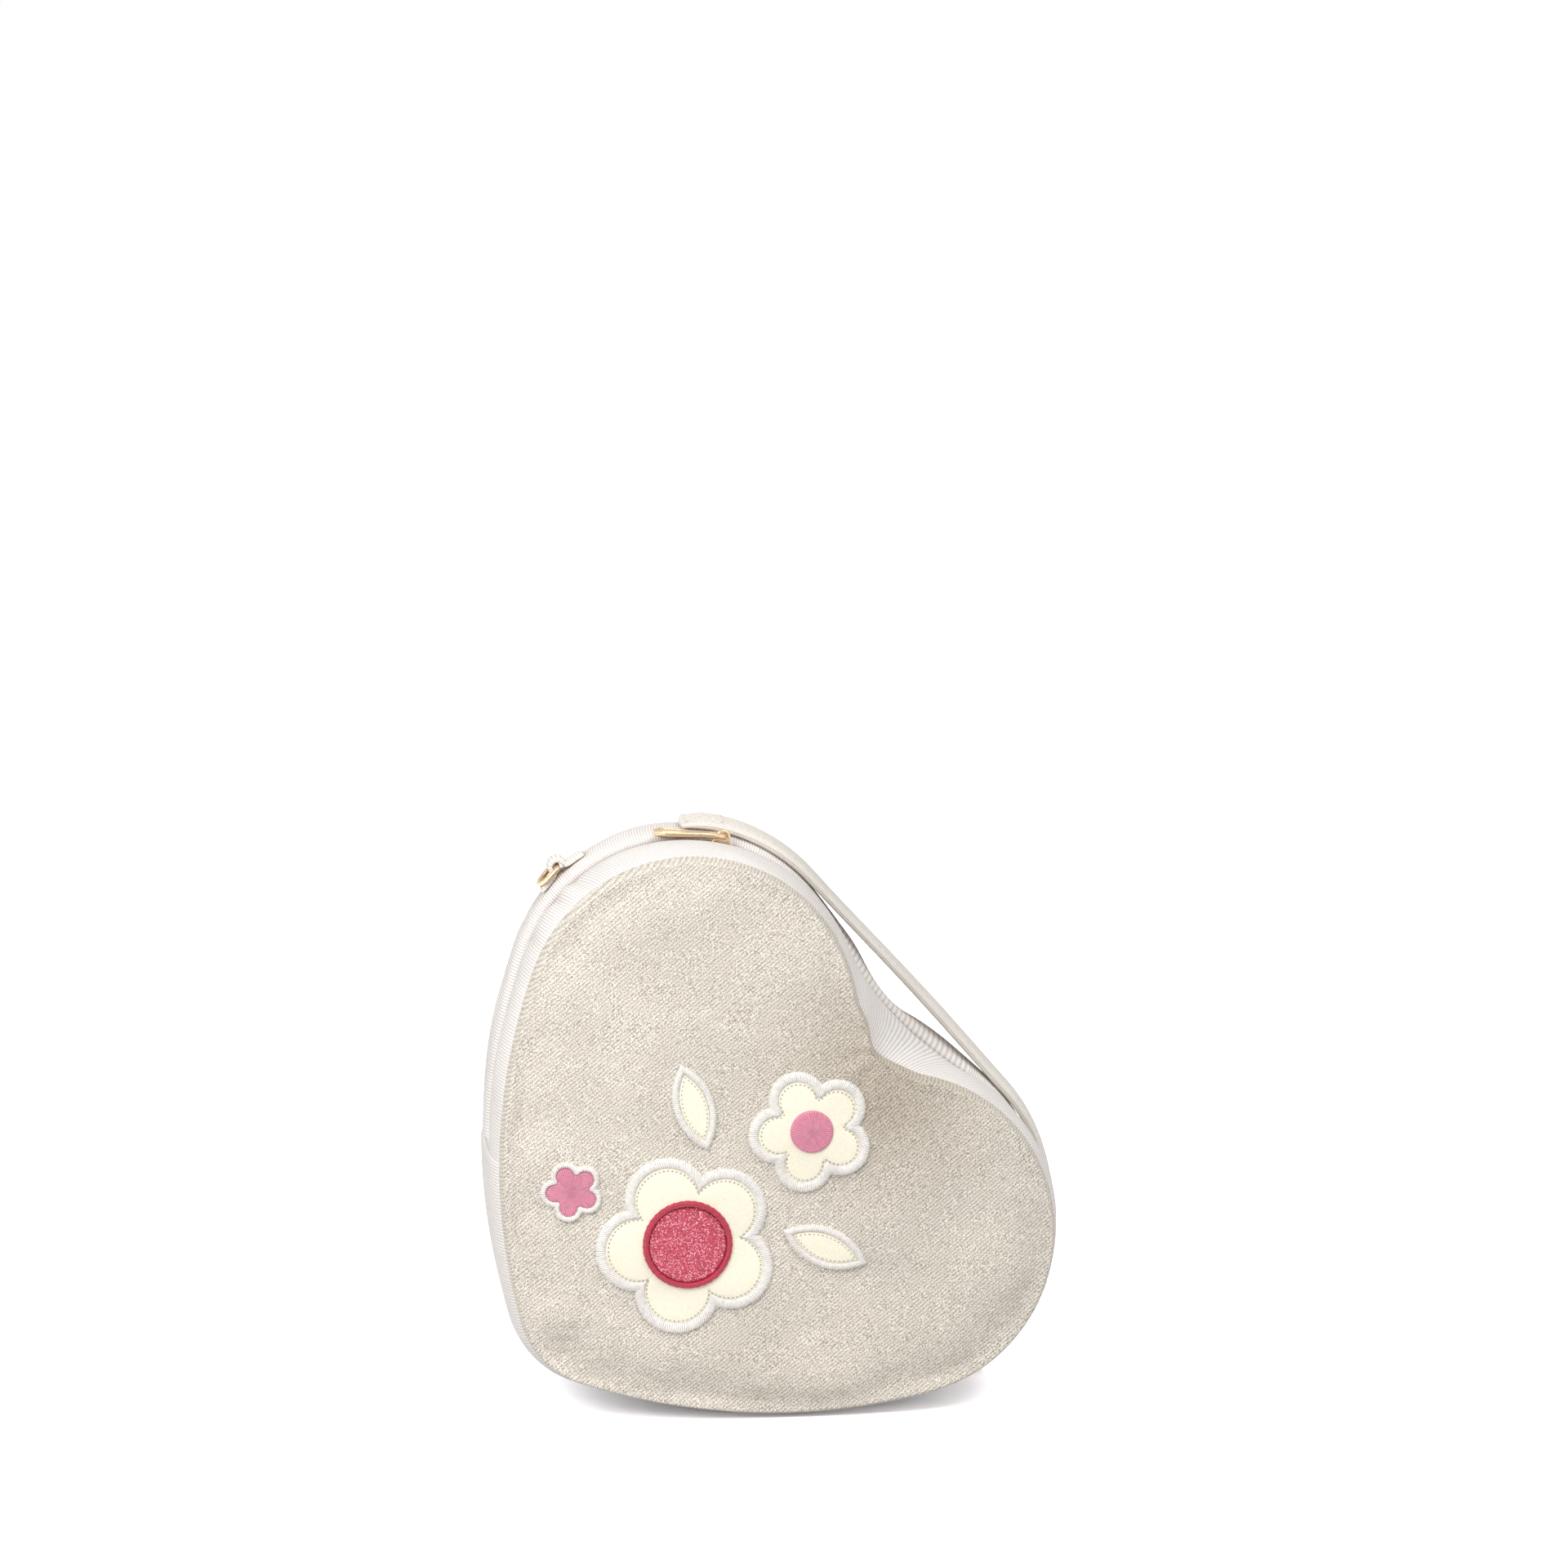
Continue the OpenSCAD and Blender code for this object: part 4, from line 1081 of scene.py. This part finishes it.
def ring_tab(side, name):
    base = lobe_frame(side, 0 if side > 0 else 180) @ Matrix.Translation((0, RING_Y, 0))
    path = smooth_line(np.array(TAB_PATH)*mm, 4)
    run = lengths(path)
    along = headings(path)
    up = np.stack([-along[:, 1], along[:, 0]], 1)
    ends = np.clip(np.minimum(run, run[-1] - run)/TAB_ROUND, 0.08, 1)**0.5
    puff = 1 + 0.10*np.sin(run/TAB_RIPPLE)
    around = np.linspace(0, 2*math.pi, 37)
    rows = []
    for t in around:
        wide = math.copysign(abs(math.cos(t))**0.5, math.cos(t))*TAB_W/2
        thick = math.copysign(abs(math.sin(t))**0.75, math.sin(t))*TAB_T/2
        bend = path + up*(thick*ends*puff)[:, None]
        z = np.maximum(bend[:, 1], TAB_SEAT*0.93) + LOBE_R
        width = wide*(1 - bumps(path[:, 1], [(0.07, WAIST_OUT, WAIST_W)]))
        # The feet follow the lobe's curve
        sink = bend[:, 0]**2/(2*(LOBE_R + TAB_SEAT))*(path[:, 1] < WAIST_OUT)
        points = np.stack([bend[:, 0], width, z - sink], 1)
        rows.append(np.array([base @ Vector(p) for p in points]))
    tab = laid(name, rows, run, around*TAB_W/math.pi, lambda p: p - base @ Vector((0, 0, LOBE_R + 4*mm)))
    tab.data.materials.append(tab_velour_painted_paler)
    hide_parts(name.replace("_folded", ""))
    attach(tab, "back_shell")
    bm = bmesh.new()
    axes = base.to_3x3()
    for x in np.array(TAB_SEAMS)*mm:
        for y in np.linspace(-TAB_SEAM_W/2, TAB_SEAM_W/2, 4):
            spot = base @ Vector((x, y, LOBE_R + TAB_STITCH_OUT - x**2/(2*(LOBE_R + TAB_SEAT))))
            stitch(bm, spot, axes @ Vector((0, 1, 0)), axes @ Vector((0, 0, 1)), TAB_STITCH_L)
    sewing = finished(name + "_stitching", bm)
    sewing.data.materials.append(thread)
    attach(sewing, "back_shell")


ring_tab(-1, "left_ring_folded_tab")
ring_tab(1, "right_ring_folded_tab")

# D-rings.
# Bent and welded from 2 mm wire, plated like the slider. Each hangs by its straight bar in its tab.
RING_W = 14*mm
WIRE_R = 1*mm
CORNER_R = 2*mm
LEFT_SWING = 176
RIGHT_SWING = -48


def d_ring(side, swing, name):
    half = RING_W/2 - CORNER_R
    quarter = np.linspace(0, math.pi/2, 9)
    path = [(0, y) for y in np.linspace(-half, half, 9)[:-1]]
    path += [(CORNER_R*(1 - math.cos(t)), half + CORNER_R*math.sin(t)) for t in quarter]
    path += [(CORNER_R + RING_W/2*math.cos(t), RING_W/2*math.sin(t))
             for t in np.linspace(math.pi/2, -math.pi/2, 33)[1:]]
    path += [(CORNER_R*(1 - math.cos(t)), -half - CORNER_R*math.sin(t)) for t in quarter[-2::-1]]
    base = lobe_frame(side, 0 if side > 0 else 180) @ Matrix.Translation((0, RING_Y, LOBE_R + RING_OUT))
    base = base @ Matrix.Rotation(math.radians(swing), 4, "Y")
    path = np.array([base @ Vector((x, y, 0)) for x, y in path])
    along = np.roll(path, -1, 0) - np.roll(path, 1, 0)
    along /= np.linalg.norm(along, axis=1)[:, None]
    across = np.array((base.to_3x3() @ Vector((0, 0, 1))).normalized())
    up = np.cross(across, along)
    rows = []
    for t in np.linspace(0, 2*math.pi, 17):
        row = path + WIRE_R*(math.cos(t)*up + math.sin(t)*across)
        rows.append(np.concatenate([row, row[:1]]))
    ring = laid(name, rows, np.arange(len(path) + 1)*mm, np.arange(len(rows))*mm,
                lambda p: p - Vector(path[np.linalg.norm(path - np.array(p), axis=1).argmin()]))
    ring.data.materials.append(pale_gold)
    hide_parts(name.replace("_wire", ""))
    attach(ring, name.replace("_wire", ""))


d_ring(-1, LEFT_SWING, "left_wire_ring")
d_ring(1, RIGHT_SWING, "right_wire_ring")

# Felt flowers.
# Blossoms and leaves cut from cream felt, laid on the padded front and edged with dense satin stitch.
# The large one has a glittered crimson eye, the medium one and the small one rose satin.
PATCH_T = 1.0*mm
BORDER_T = 1.5*mm
BORDER_W = 3.6*mm
PETALS = 5
PETAL_SHARE = 0.46
LARGE_R = 32*mm
MEDIUM_R = 22*mm
SMALL_R = 11*mm
EYE_R = LARGE_R*0.42
MEDIUM_EYE_R = MEDIUM_R*0.34
LARGE_AT = np.array([0.014*HEART_W, 0.37*HEART_L])
MEDIUM_AT = LARGE_AT + [0, LARGE_R + 4*mm + MEDIUM_R]
SMALL_AT = np.array([-0.173*HEART_W, 0.276*HEART_L])
LEAF_L = 34*mm
LEAF_BOW = LEAF_L*0.62
LEAF_SAG = LEAF_L*0.41
LEAF_AT = np.array([LEAF_L, LARGE_R + 2*mm])
LEAF_LEAN = math.radians(25)
LEAF_BORDER = BORDER_W*0.7
LEAF_STEPS = 160
CENTRE_BORDER = BORDER_W*0.6
FRAY = 0.16*mm
NEEDLE_PITCH = 1.5*mm
NEEDLE_INSET = 0.7*mm
LEAF_NEEDLE_INSET = 0.8*mm
NEEDLE_H = PATCH_T*0.98

front_face_mesh = BVHTree.FromObject(front_face, bpy.context.evaluated_depsgraph_get())


def face_at(x, z):
    """How far forward the padded front stands under a point."""
    hit = front_face_mesh.ray_cast(Vector((x, -0.1, z)), Vector((0, 1, 0)))[0]
    return -hit.y


def blossom_edge(r, inset, count):
    """Outline of a blossom of five round petals, drawn in by an inset."""
    petal = r*PETAL_SHARE
    reach = r - petal
    points = []
    for k in range(count + 1):
        t = 2*math.pi*k/count
        off = (t - math.pi/2 + math.pi/PETALS) % (2*math.pi/PETALS) - math.pi/PETALS
        radius = reach
        rest = (petal - inset)**2 - (reach*math.sin(off))**2
        if rest > 0:
            radius = max(radius, reach*math.cos(off) + math.sqrt(rest))
        points.append((radius*math.cos(t), radius*math.sin(t)))
    return np.array(points)


def round_edge(r, count):
    t = np.linspace(0, 2*math.pi, count + 1)
    return r*np.stack([np.cos(t), np.sin(t)], 1)


def leaf_edge(inset, count):
    """Outline of a leaf between two arcs."""
    bow = LEAF_BOW - inset
    half = math.acos(LEAF_SAG/bow)
    top = [(bow*math.sin(t), bow*math.cos(t) - LEAF_SAG) for t in np.linspace(-half, half, count//2 + 1)]
    low = [(-x, -y) for x, y in top]
    return np.array(top + low[1:])


def sewn_rows(at, turn, shapes, heights):
    """Rows laid on the padded front: each shape about its own middle, at a height above the velour."""
    c, s = math.cos(turn), math.sin(turn)
    rows = []
    for shape, height in zip(shapes, heights):
        flat = np.stack([shape[:, 0]*c - shape[:, 1]*s, shape[:, 0]*s + shape[:, 1]*c], 1) + at
        row = posed(flat, 0)
        row[:, 1] = [-face_at(x, z) - height for x, _, z in row]
        row[-1] = row[0]
        rows.append(row)
    return rows


def forward(p):
    return Vector((0, -1, 0))


def sewn_on(name, rows, u, v, cloth, node_name):
    """Lays a piece on the front half. It replaces the node of that name, if there is one."""
    piece = laid(name, rows, u, v, forward)
    piece.data.materials.append(cloth)
    if node_name:
        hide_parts(node_name)
    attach(piece, "front_shell")


def patch(name, at, turn, edge, under, thick, cloth, node_name, slot):
    """A cut piece of cloth, slightly raised in its middle, whose edge lies under a border."""
    shares = [1.0, 1.0, 0.97, 0.9, 0.78, 0.64, 0.5, 0.36, 0.22, 0.1, 0]
    lifts = [-0.3*mm, thick*0.5, thick*0.8] + [thick + 0.25*mm*(1 - s) for s in shares[3:]]
    rows = sewn_rows(at, turn, [edge*s for s in shares], [under + h for h in lifts])
    sewn_on(name, rows, lengths(edge), np.arange(len(shares))*mm, cloth, node_name)


def border(name, at, turn, outer, inner, under, thick, cloth, node_name):
    """A satin stitch border: a low dome of threads laid side by side across the cut edge."""
    shares = np.array([0, 0, 0.08, 0.2, 0.36, 0.52, 0.68, 0.82, 0.93, 1.0, 1.0])
    lifts = np.array([-0.3, 0.25, 0.62, 0.88, 1.0, 1.04, 1.0, 0.88, 0.66, 0.35, -0.3])
    steps = np.arange(len(outer))
    # Both edges are a little ragged, and each row ends where it starts
    fray = FRAY*np.sin(steps*2.399)*np.sin(steps*1.37 + 0.5)
    away = outer/np.linalg.norm(outer, axis=1)[:, None]
    ragged = outer + away*fray[:, None]
    ragged[-1] = ragged[0]
    inner_fray = inner + away*0.8*np.roll(fray, 7)[:, None]
    inner_fray[-1] = inner_fray[0]
    shapes = [ragged + (inner_fray - ragged)*s for s in shares]
    rows = sewn_rows(at, turn, shapes, [under + thick*h for h in lifts])
    sewn_on(name, rows, lengths(outer), shares*BORDER_W, cloth, node_name)


def needle_line(name, at, turn, edge, inset):
    """A line of fine stitches just inside a border. Their grey thread is painted shade of the needle holes
    there.
    """
    inner = edge*(1 - inset/np.linalg.norm(edge, axis=1).mean())
    run = lengths(inner)
    marks = np.linspace(0, run[-1], int(run[-1]/NEEDLE_PITCH), endpoint=False)
    flat = np.stack([np.interp(marks, run, inner[:, 0]), np.interp(marks, run, inner[:, 1])], 1)
    row = sewn_rows(at, turn, [np.concatenate([flat, flat[:1]])], [NEEDLE_H])[0]
    bm = bmesh.new()
    for here, there in zip(row[:-1], row[1:]):
        along = Vector(there - here).normalized()
        out = (Vector((0, -1, 0)) + along*along.y).normalized()
        stitch(bm, Vector(here), along, out, NEEDLE_PITCH*0.55)
    piece = finished(name, bm)
    piece.data.materials.append(needle_shade_thread)
    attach(piece, "front_shell")


# Grey thread: fine polyester that shows as a dotted line beside the satin stitch. Its grey is painted shade
# of the needle holes
needle_shade_thread = grained("grey_bobbin_thread", [0.6667*mm]*3, {"Detail": 1.0},
                        [(0.35, "#a39c92"), (0.65, "#c9c2b7")], {"Roughness": 0.55})
# Felt: pressed wool fibres, matt, with a faint fleck
cream_felt = grained("cream_wool_felt", [0.5263*mm]*3, {"Detail": 3.0, "Roughness": 0.7, "Distortion": 1.0},
                     [(0.3, "#f1e9cf"), (0.6, "#fffae6")],
                     {"Roughness": 0.95, "Specular IOR Level": 0.2, "Sheen Weight": 0.2},
                     relief=(0.35, 0.2*mm))
# Satin stitch: rayon threads 0.4 mm wide lie side by side across the border. They are drawn twice as wide or
# more, so that they show.
SATIN_PITCH = 0.8*mm
ROSE_PITCH = 0.9*mm
UNEVEN_GRAIN = 1.4286*mm


def satin_stitch(name, bright, gap, gloss, pitch):
    material = new_material(name)
    place = add_node(material, "TexCoord")
    strands = add_node(material, "TexWave",
                       {"bands_direction": "X", "Scale": bands(pitch), "Distortion": 2.6, "Detail": 2.0,
                        "Detail Scale": 1.4}, {"Vector": (place, "UV")})
    uneven = add_node(material, "TexNoise", {"Scale": 1/UNEVEN_GRAIN, "Detail": 2.0},
                      {"Vector": (place, "Object")})
    mixed = add_node(material, "Math", {"operation": "MULTIPLY_ADD", 1: 0.7},
                     {0: (uneven, "Fac"), 2: (strands, "Fac")})
    share = add_node(material, "MapRange", {"From Min": 0.3, "From Max": 0.95}, {"Value": (mixed, "Value")})
    tone = add_node(material, "ValToRGB", {"ramp": [(0, gap), (0.5, bright), (1, bright)]},
                    {"Fac": (share, "Result")})
    bump = add_node(material, "Bump", {"Strength": 0.5, "Distance": 0.25*mm}, {"Height": (mixed, "Value")})
    return surfaced(material, {"Roughness": gloss, "Specular IOR Level": 0.5, "Sheen Weight": 0.15},
                    {"Base Color": (tone, "Color"), "Normal": (bump, "Normal")})


white_stitch = satin_stitch("white_satin_stitch", "#f3efe8", "#aea69d", 0.45, SATIN_PITCH)
crimson_stitch = satin_stitch("crimson_satin_stitch", "#b5173a", "#7c0f28", 0.4, SATIN_PITCH)
rose_satin = satin_stitch("rose_satin_stitch", "#dd8ba1", "#a44a68", 0.4, ROSE_PITCH)

# Glitter cloth: tiny foil flakes on crimson backing, so that single points flash
FLAKE = 0.3333*mm
crimson_glitter = new_material("crimson_glitter_cloth")
place = add_node(crimson_glitter, "TexCoord")
flake = add_node(crimson_glitter, "TexVoronoi", {"Scale": 1/FLAKE}, {"Vector": (place, "Object")})
lit = add_node(crimson_glitter, "SeparateColor", None, {"Color": (flake, "Color")})
tone = add_node(crimson_glitter, "ValToRGB",
                {"ramp": [(0, "#7d1229"), (0.45, "#a81d3a"), (0.78, "#c23a55"), (0.93, "#f0a3b2")]},
                {"Fac": (lit, "Red")})
rough = add_node(crimson_glitter, "MapRange", {"To Min": 0.2, "To Max": 0.6}, {"Value": (lit, "Green")})
tilt = add_node(crimson_glitter, "Bump", {"Strength": 0.6, "Distance": 0.3*mm}, {"Height": (lit, "Blue")})
surfaced(crimson_glitter, {"Metallic": 0.25, "Coat Weight": 0.3},
         {"Base Color": (tone, "Color"), "Roughness": (rough, "Result"), "Normal": (tilt, "Normal")})


def blossom(size, cut, at, r, width, steps, cloth, slot):
    """A blossom of cut cloth with its satin stitch border. Returns the border's inner edge."""
    inner = blossom_edge(r, width, steps)
    patch(f"{size}_{cut}_blossom", at, 0, inner*1.02, 0, PATCH_T, cloth, f"{size}_blossom", slot)
    border(f"{size}_blossom_satin_border", at, 0, blossom_edge(r, 0, steps), inner, 0, BORDER_T, white_stitch,
           f"{size}_blossom_border")
    return inner


inner = blossom("large", "felt", LARGE_AT, LARGE_R, BORDER_W, 520, cream_felt, "cream_felt")
needle_line("large_blossom_needle_line", LARGE_AT, 0, inner, NEEDLE_INSET)
patch("large_glitter_eye", LARGE_AT, 0, round_edge(EYE_R, 200), PATCH_T, PATCH_T*0.8, crimson_glitter,
      "large_blossom_centre", "crimson_glitter")
border("large_eye_satin_border", LARGE_AT, 0, round_edge(EYE_R + CENTRE_BORDER, 240), round_edge(EYE_R, 240),
       PATCH_T, BORDER_T*0.9, crimson_stitch, "large_centre_border")

inner = blossom("medium", "felt", MEDIUM_AT, MEDIUM_R, BORDER_W, 400, cream_felt, "cream_felt")
needle_line("medium_blossom_needle_line", MEDIUM_AT, 0, inner, NEEDLE_INSET)
patch("medium_satin_eye", MEDIUM_AT, 0, round_edge(MEDIUM_EYE_R, 120), PATCH_T, PATCH_T*0.9, rose_satin,
      "medium_blossom_centre", "rose_satin")

blossom("small", "satin", SMALL_AT, SMALL_R, BORDER_W*0.55, 240, rose_satin, "rose_satin")

# The CAD's leaves are one node and so are their borders: the right leaf's pieces replace them
for side, name in ((1, "right"), (-1, "left")):
    at = LARGE_AT + LEAF_AT*[side, 1]
    turn = LEAF_LEAN*side
    inner = leaf_edge(LEAF_BORDER, LEAF_STEPS)
    patch(name + "_felt_leaf", at, turn, inner*1.01, 0, PATCH_T, cream_felt, "leaves" if side > 0 else None,
          "cream_felt")
    border(name + "_leaf_satin_border", at, turn, leaf_edge(0, LEAF_STEPS), inner, 0, BORDER_T, white_stitch,
           "leaf_borders" if side > 0 else None)
    inner = leaf_edge(LEAF_BORDER + LEAF_NEEDLE_INSET, LEAF_STEPS)
    needle_line(name + "_leaf_needle_line", at, turn, inner, 0)

# Linings and boards.
# Ivory polyester satin lines both halves as trays, loose enough to crease, and hides the stiffening card.
LINING_OUT = -3.4*mm
LINING_FLOOR = 32.3*mm
CREASE_H = 0.25*mm
CRUMPLE = [(0.25*mm, 23*mm, 0.4, 0), (0.2*mm, 15*mm, 1.9, 2.0)]
# Section of the tray's wall, in mm: distance out and depth from the zip
LINING_WALL = [(0, 4.9), (-0.4, 4.8), (-0.8, 5.2), (-1.0, 7), (-1.0, 10), (-1.1, 14), (-1.0, 18), (-1.2, 22),
               (-1.0, 26), (-1.2, 29.5), (-2.0, 31.6), (-3.6, 32.2)]


def lining(side, name, body):
    rows = []
    for out, depth in np.array(LINING_WALL)*mm:
        crease = CREASE_H*np.sin(STATIONS/3.7 + 60*depth)*np.sin(STATIONS/11.3)*(depth > 6*mm)
        base = outline(LINING_OUT + out, side*depth)
        inwards = outline(LINING_OUT + out - mm, side*depth) - base
        rows.append(posed(base + inwards/mm*np.abs(crease)[:, None], side*depth))
    edge = outline(LINING_OUT + LINING_WALL[-1][0]*mm, SEAM_Y)
    for share in (0.05, 0.12, 0.2, 0.3, 0.42, 0.56, 0.7, 0.85, 1):
        rows.append(posed(edge + (MIDDLE - edge)*share, side*LINING_FLOOR))
    for share in CORE_SHARES:
        rows.append(posed(MIDDLE + (HEART_MIDDLE - MIDDLE)*share, side*LINING_FLOOR))
    rows = np.array(rows)
    flat = rows[len(LINING_WALL):]
    flat[..., 1] -= side*np.abs(sines(flat.reshape(-1, 3), CRUMPLE)).reshape(flat.shape[:2])
    piece = laid(name, rows, OUTLINE_RUN, lengths(rows[:, 0]), lambda p: Vector((0, -side, 0)))
    piece.data.materials.append(ivory_satin)
    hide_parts(name.replace("_satin", ""))
    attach(piece, body)


# Satin: fine and smooth, with a soft gloss that runs across the weave
ivory_satin = grained("ivory_polyester_satin", (1.6667*mm, 1.6667*mm, 0.4*mm), {"Detail": 2.0},
                      [(0.3, "#ddd5cb"), (0.7, "#ece5dc")], {"Specular IOR Level": 0.5, "Sheen Weight": 0.2},
                      gloss=(0.32, 0.5), relief=(0.15, 0.1*mm))

lining(-1, "front_satin_lining", "front_shell")
lining(1, "back_satin_lining", "back_shell")

# Grey board: pressed paper fibre, flecked and matt. It is hidden between lining and foam
grey_board = grained("pressed_grey_board", [2*mm]*3, {"Detail": 5.0, "Roughness": 0.7},
                     [(0.35, "#b9ad98"), (0.65, "#d9cfbd")], {"Roughness": 0.9})
for name in ("front_board", "back_board"):
    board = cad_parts[name]
    for holder in board.material_slots:
        holder.material = grey_board

# Floor, light and camera.
# A plain white sweep under soft light, seen from the photograph's place: a little above and left of the bag.
FLOOR_SIZE = 40.0
PAPER_SHARE = 0.62
PAPER_SHARE_SEEN = 2.0
PAPER_GLOW = 0.13
ROOM_LIGHT = 0.34
bm = bmesh.new()
bmesh.ops.create_grid(bm, x_segments=1, y_segments=1, size=FLOOR_SIZE)
floor = finished("floor", bm)
# The camera sees the paper over-exposed, as white as in the photograph, so that only its deepest shadow shows
floor_paper = new_material("matt_white_paper")
ray = add_node(floor_paper, "LightPath")
seen = add_node(floor_paper, "Math", {"operation": "MAXIMUM"},
                {0: (ray, "Is Camera Ray"), 1: (ray, "Is Glossy Ray")})
share = add_node(floor_paper, "MapRange", {"To Min": PAPER_SHARE, "To Max": PAPER_SHARE_SEEN},
                 {"Value": (seen, "Value")})
tint = add_node(floor_paper, "VectorMath", {"operation": "SCALE", 0: linear("#fcfcff")[:3]},
                {"Scale": (share, "Result")})
matt = add_node(floor_paper, "BsdfDiffuse", None, {"Color": (tint, "Vector")})
lift = add_node(floor_paper, "Math", {"operation": "MULTIPLY", 1: PAPER_GLOW}, {0: (seen, "Value")})
glow = add_node(floor_paper, "Emission", {"Color": (1, 1, 1, 1)}, {"Strength": (lift, "Value")})
both = add_node(floor_paper, "AddShader", None, {0: (matt, "BSDF"), 1: (glow, "Emission")})
add_node(floor_paper, "OutputMaterial", None, {"Surface": (both, "Shader")})
floor.data.materials.append(floor_paper)

world = bpy.data.worlds.new("soft_room")
bpy.context.scene.world = world
world.use_nodes = True
world.node_tree.nodes.clear()
ray = add_node(world, "LightPath")
seen = add_node(world, "Math", {"operation": "MAXIMUM"},
                {0: (ray, "Is Camera Ray"), 1: (ray, "Is Transmission Ray")})
mirrored = add_node(world, "Math", {"operation": "MAXIMUM"}, {0: (seen, "Value"), 1: (ray, "Is Glossy Ray")})
level = add_node(world, "MapRange", {"To Min": ROOM_LIGHT, "To Max": 1.0}, {"Value": (mirrored, "Value")})
room = add_node(world, "Background", {"Color": (1, 1, 1, 1)}, {"Strength": (level, "Result")})
add_node(world, "OutputWorld", None, {"Surface": (room, "Background")})


def far_light(name, source, strength, spread):
    """A wide even light from far away, towards the bag from the direction of its source."""
    lamp = bpy.data.lights.new(name, "SUN")
    lamp.energy = strength
    lamp.angle = math.radians(spread)
    sky = bpy.data.objects.new(name, lamp)
    bpy.context.scene.collection.objects.link(sky)
    sky.rotation_euler = (-Vector(source)).to_track_quat("-Z", "Y").to_euler()


far_light("top_light", (0.3, -0.5, 1.0), 1.35, 34)
far_light("side_light", (-1.0, -0.15, 0.35), 0.5, 60)
far_light("fill_light", (1.0, -0.45, 0.7), 0.35, 60)

# A soft box near the upper left gives the slow fall of light across the bag
lamp = bpy.data.lights.new("soft_box", "AREA")
lamp.shape = "DISK"
lamp.size = 0.3
lamp.energy = 1.9
soft_box = bpy.data.objects.new("soft_box", lamp)
bpy.context.scene.collection.objects.link(soft_box)
soft_box.location = (-0.34, -0.42, 0.42)
soft_box.rotation_euler = (Vector((0, 0, 0.1)) - soft_box.location).to_track_quat("-Z", "Y").to_euler()
soft_box.visible_camera = False

camera = bpy.data.cameras.new("camera")
camera.lens = 118.125
camera.sensor_width = 36
camera.clip_end = 200
view = bpy.data.objects.new("camera", camera)
view.location = (-0.19872, -1.77293, 0.48132)
view.rotation_euler = Euler((math.radians(81.6), 0, math.radians(-6.5)))
bpy.context.scene.collection.objects.link(view)
bpy.context.scene.camera = view
bpy.context.scene.view_settings.view_transform = "Standard"

bpy.context.view_layer.update()
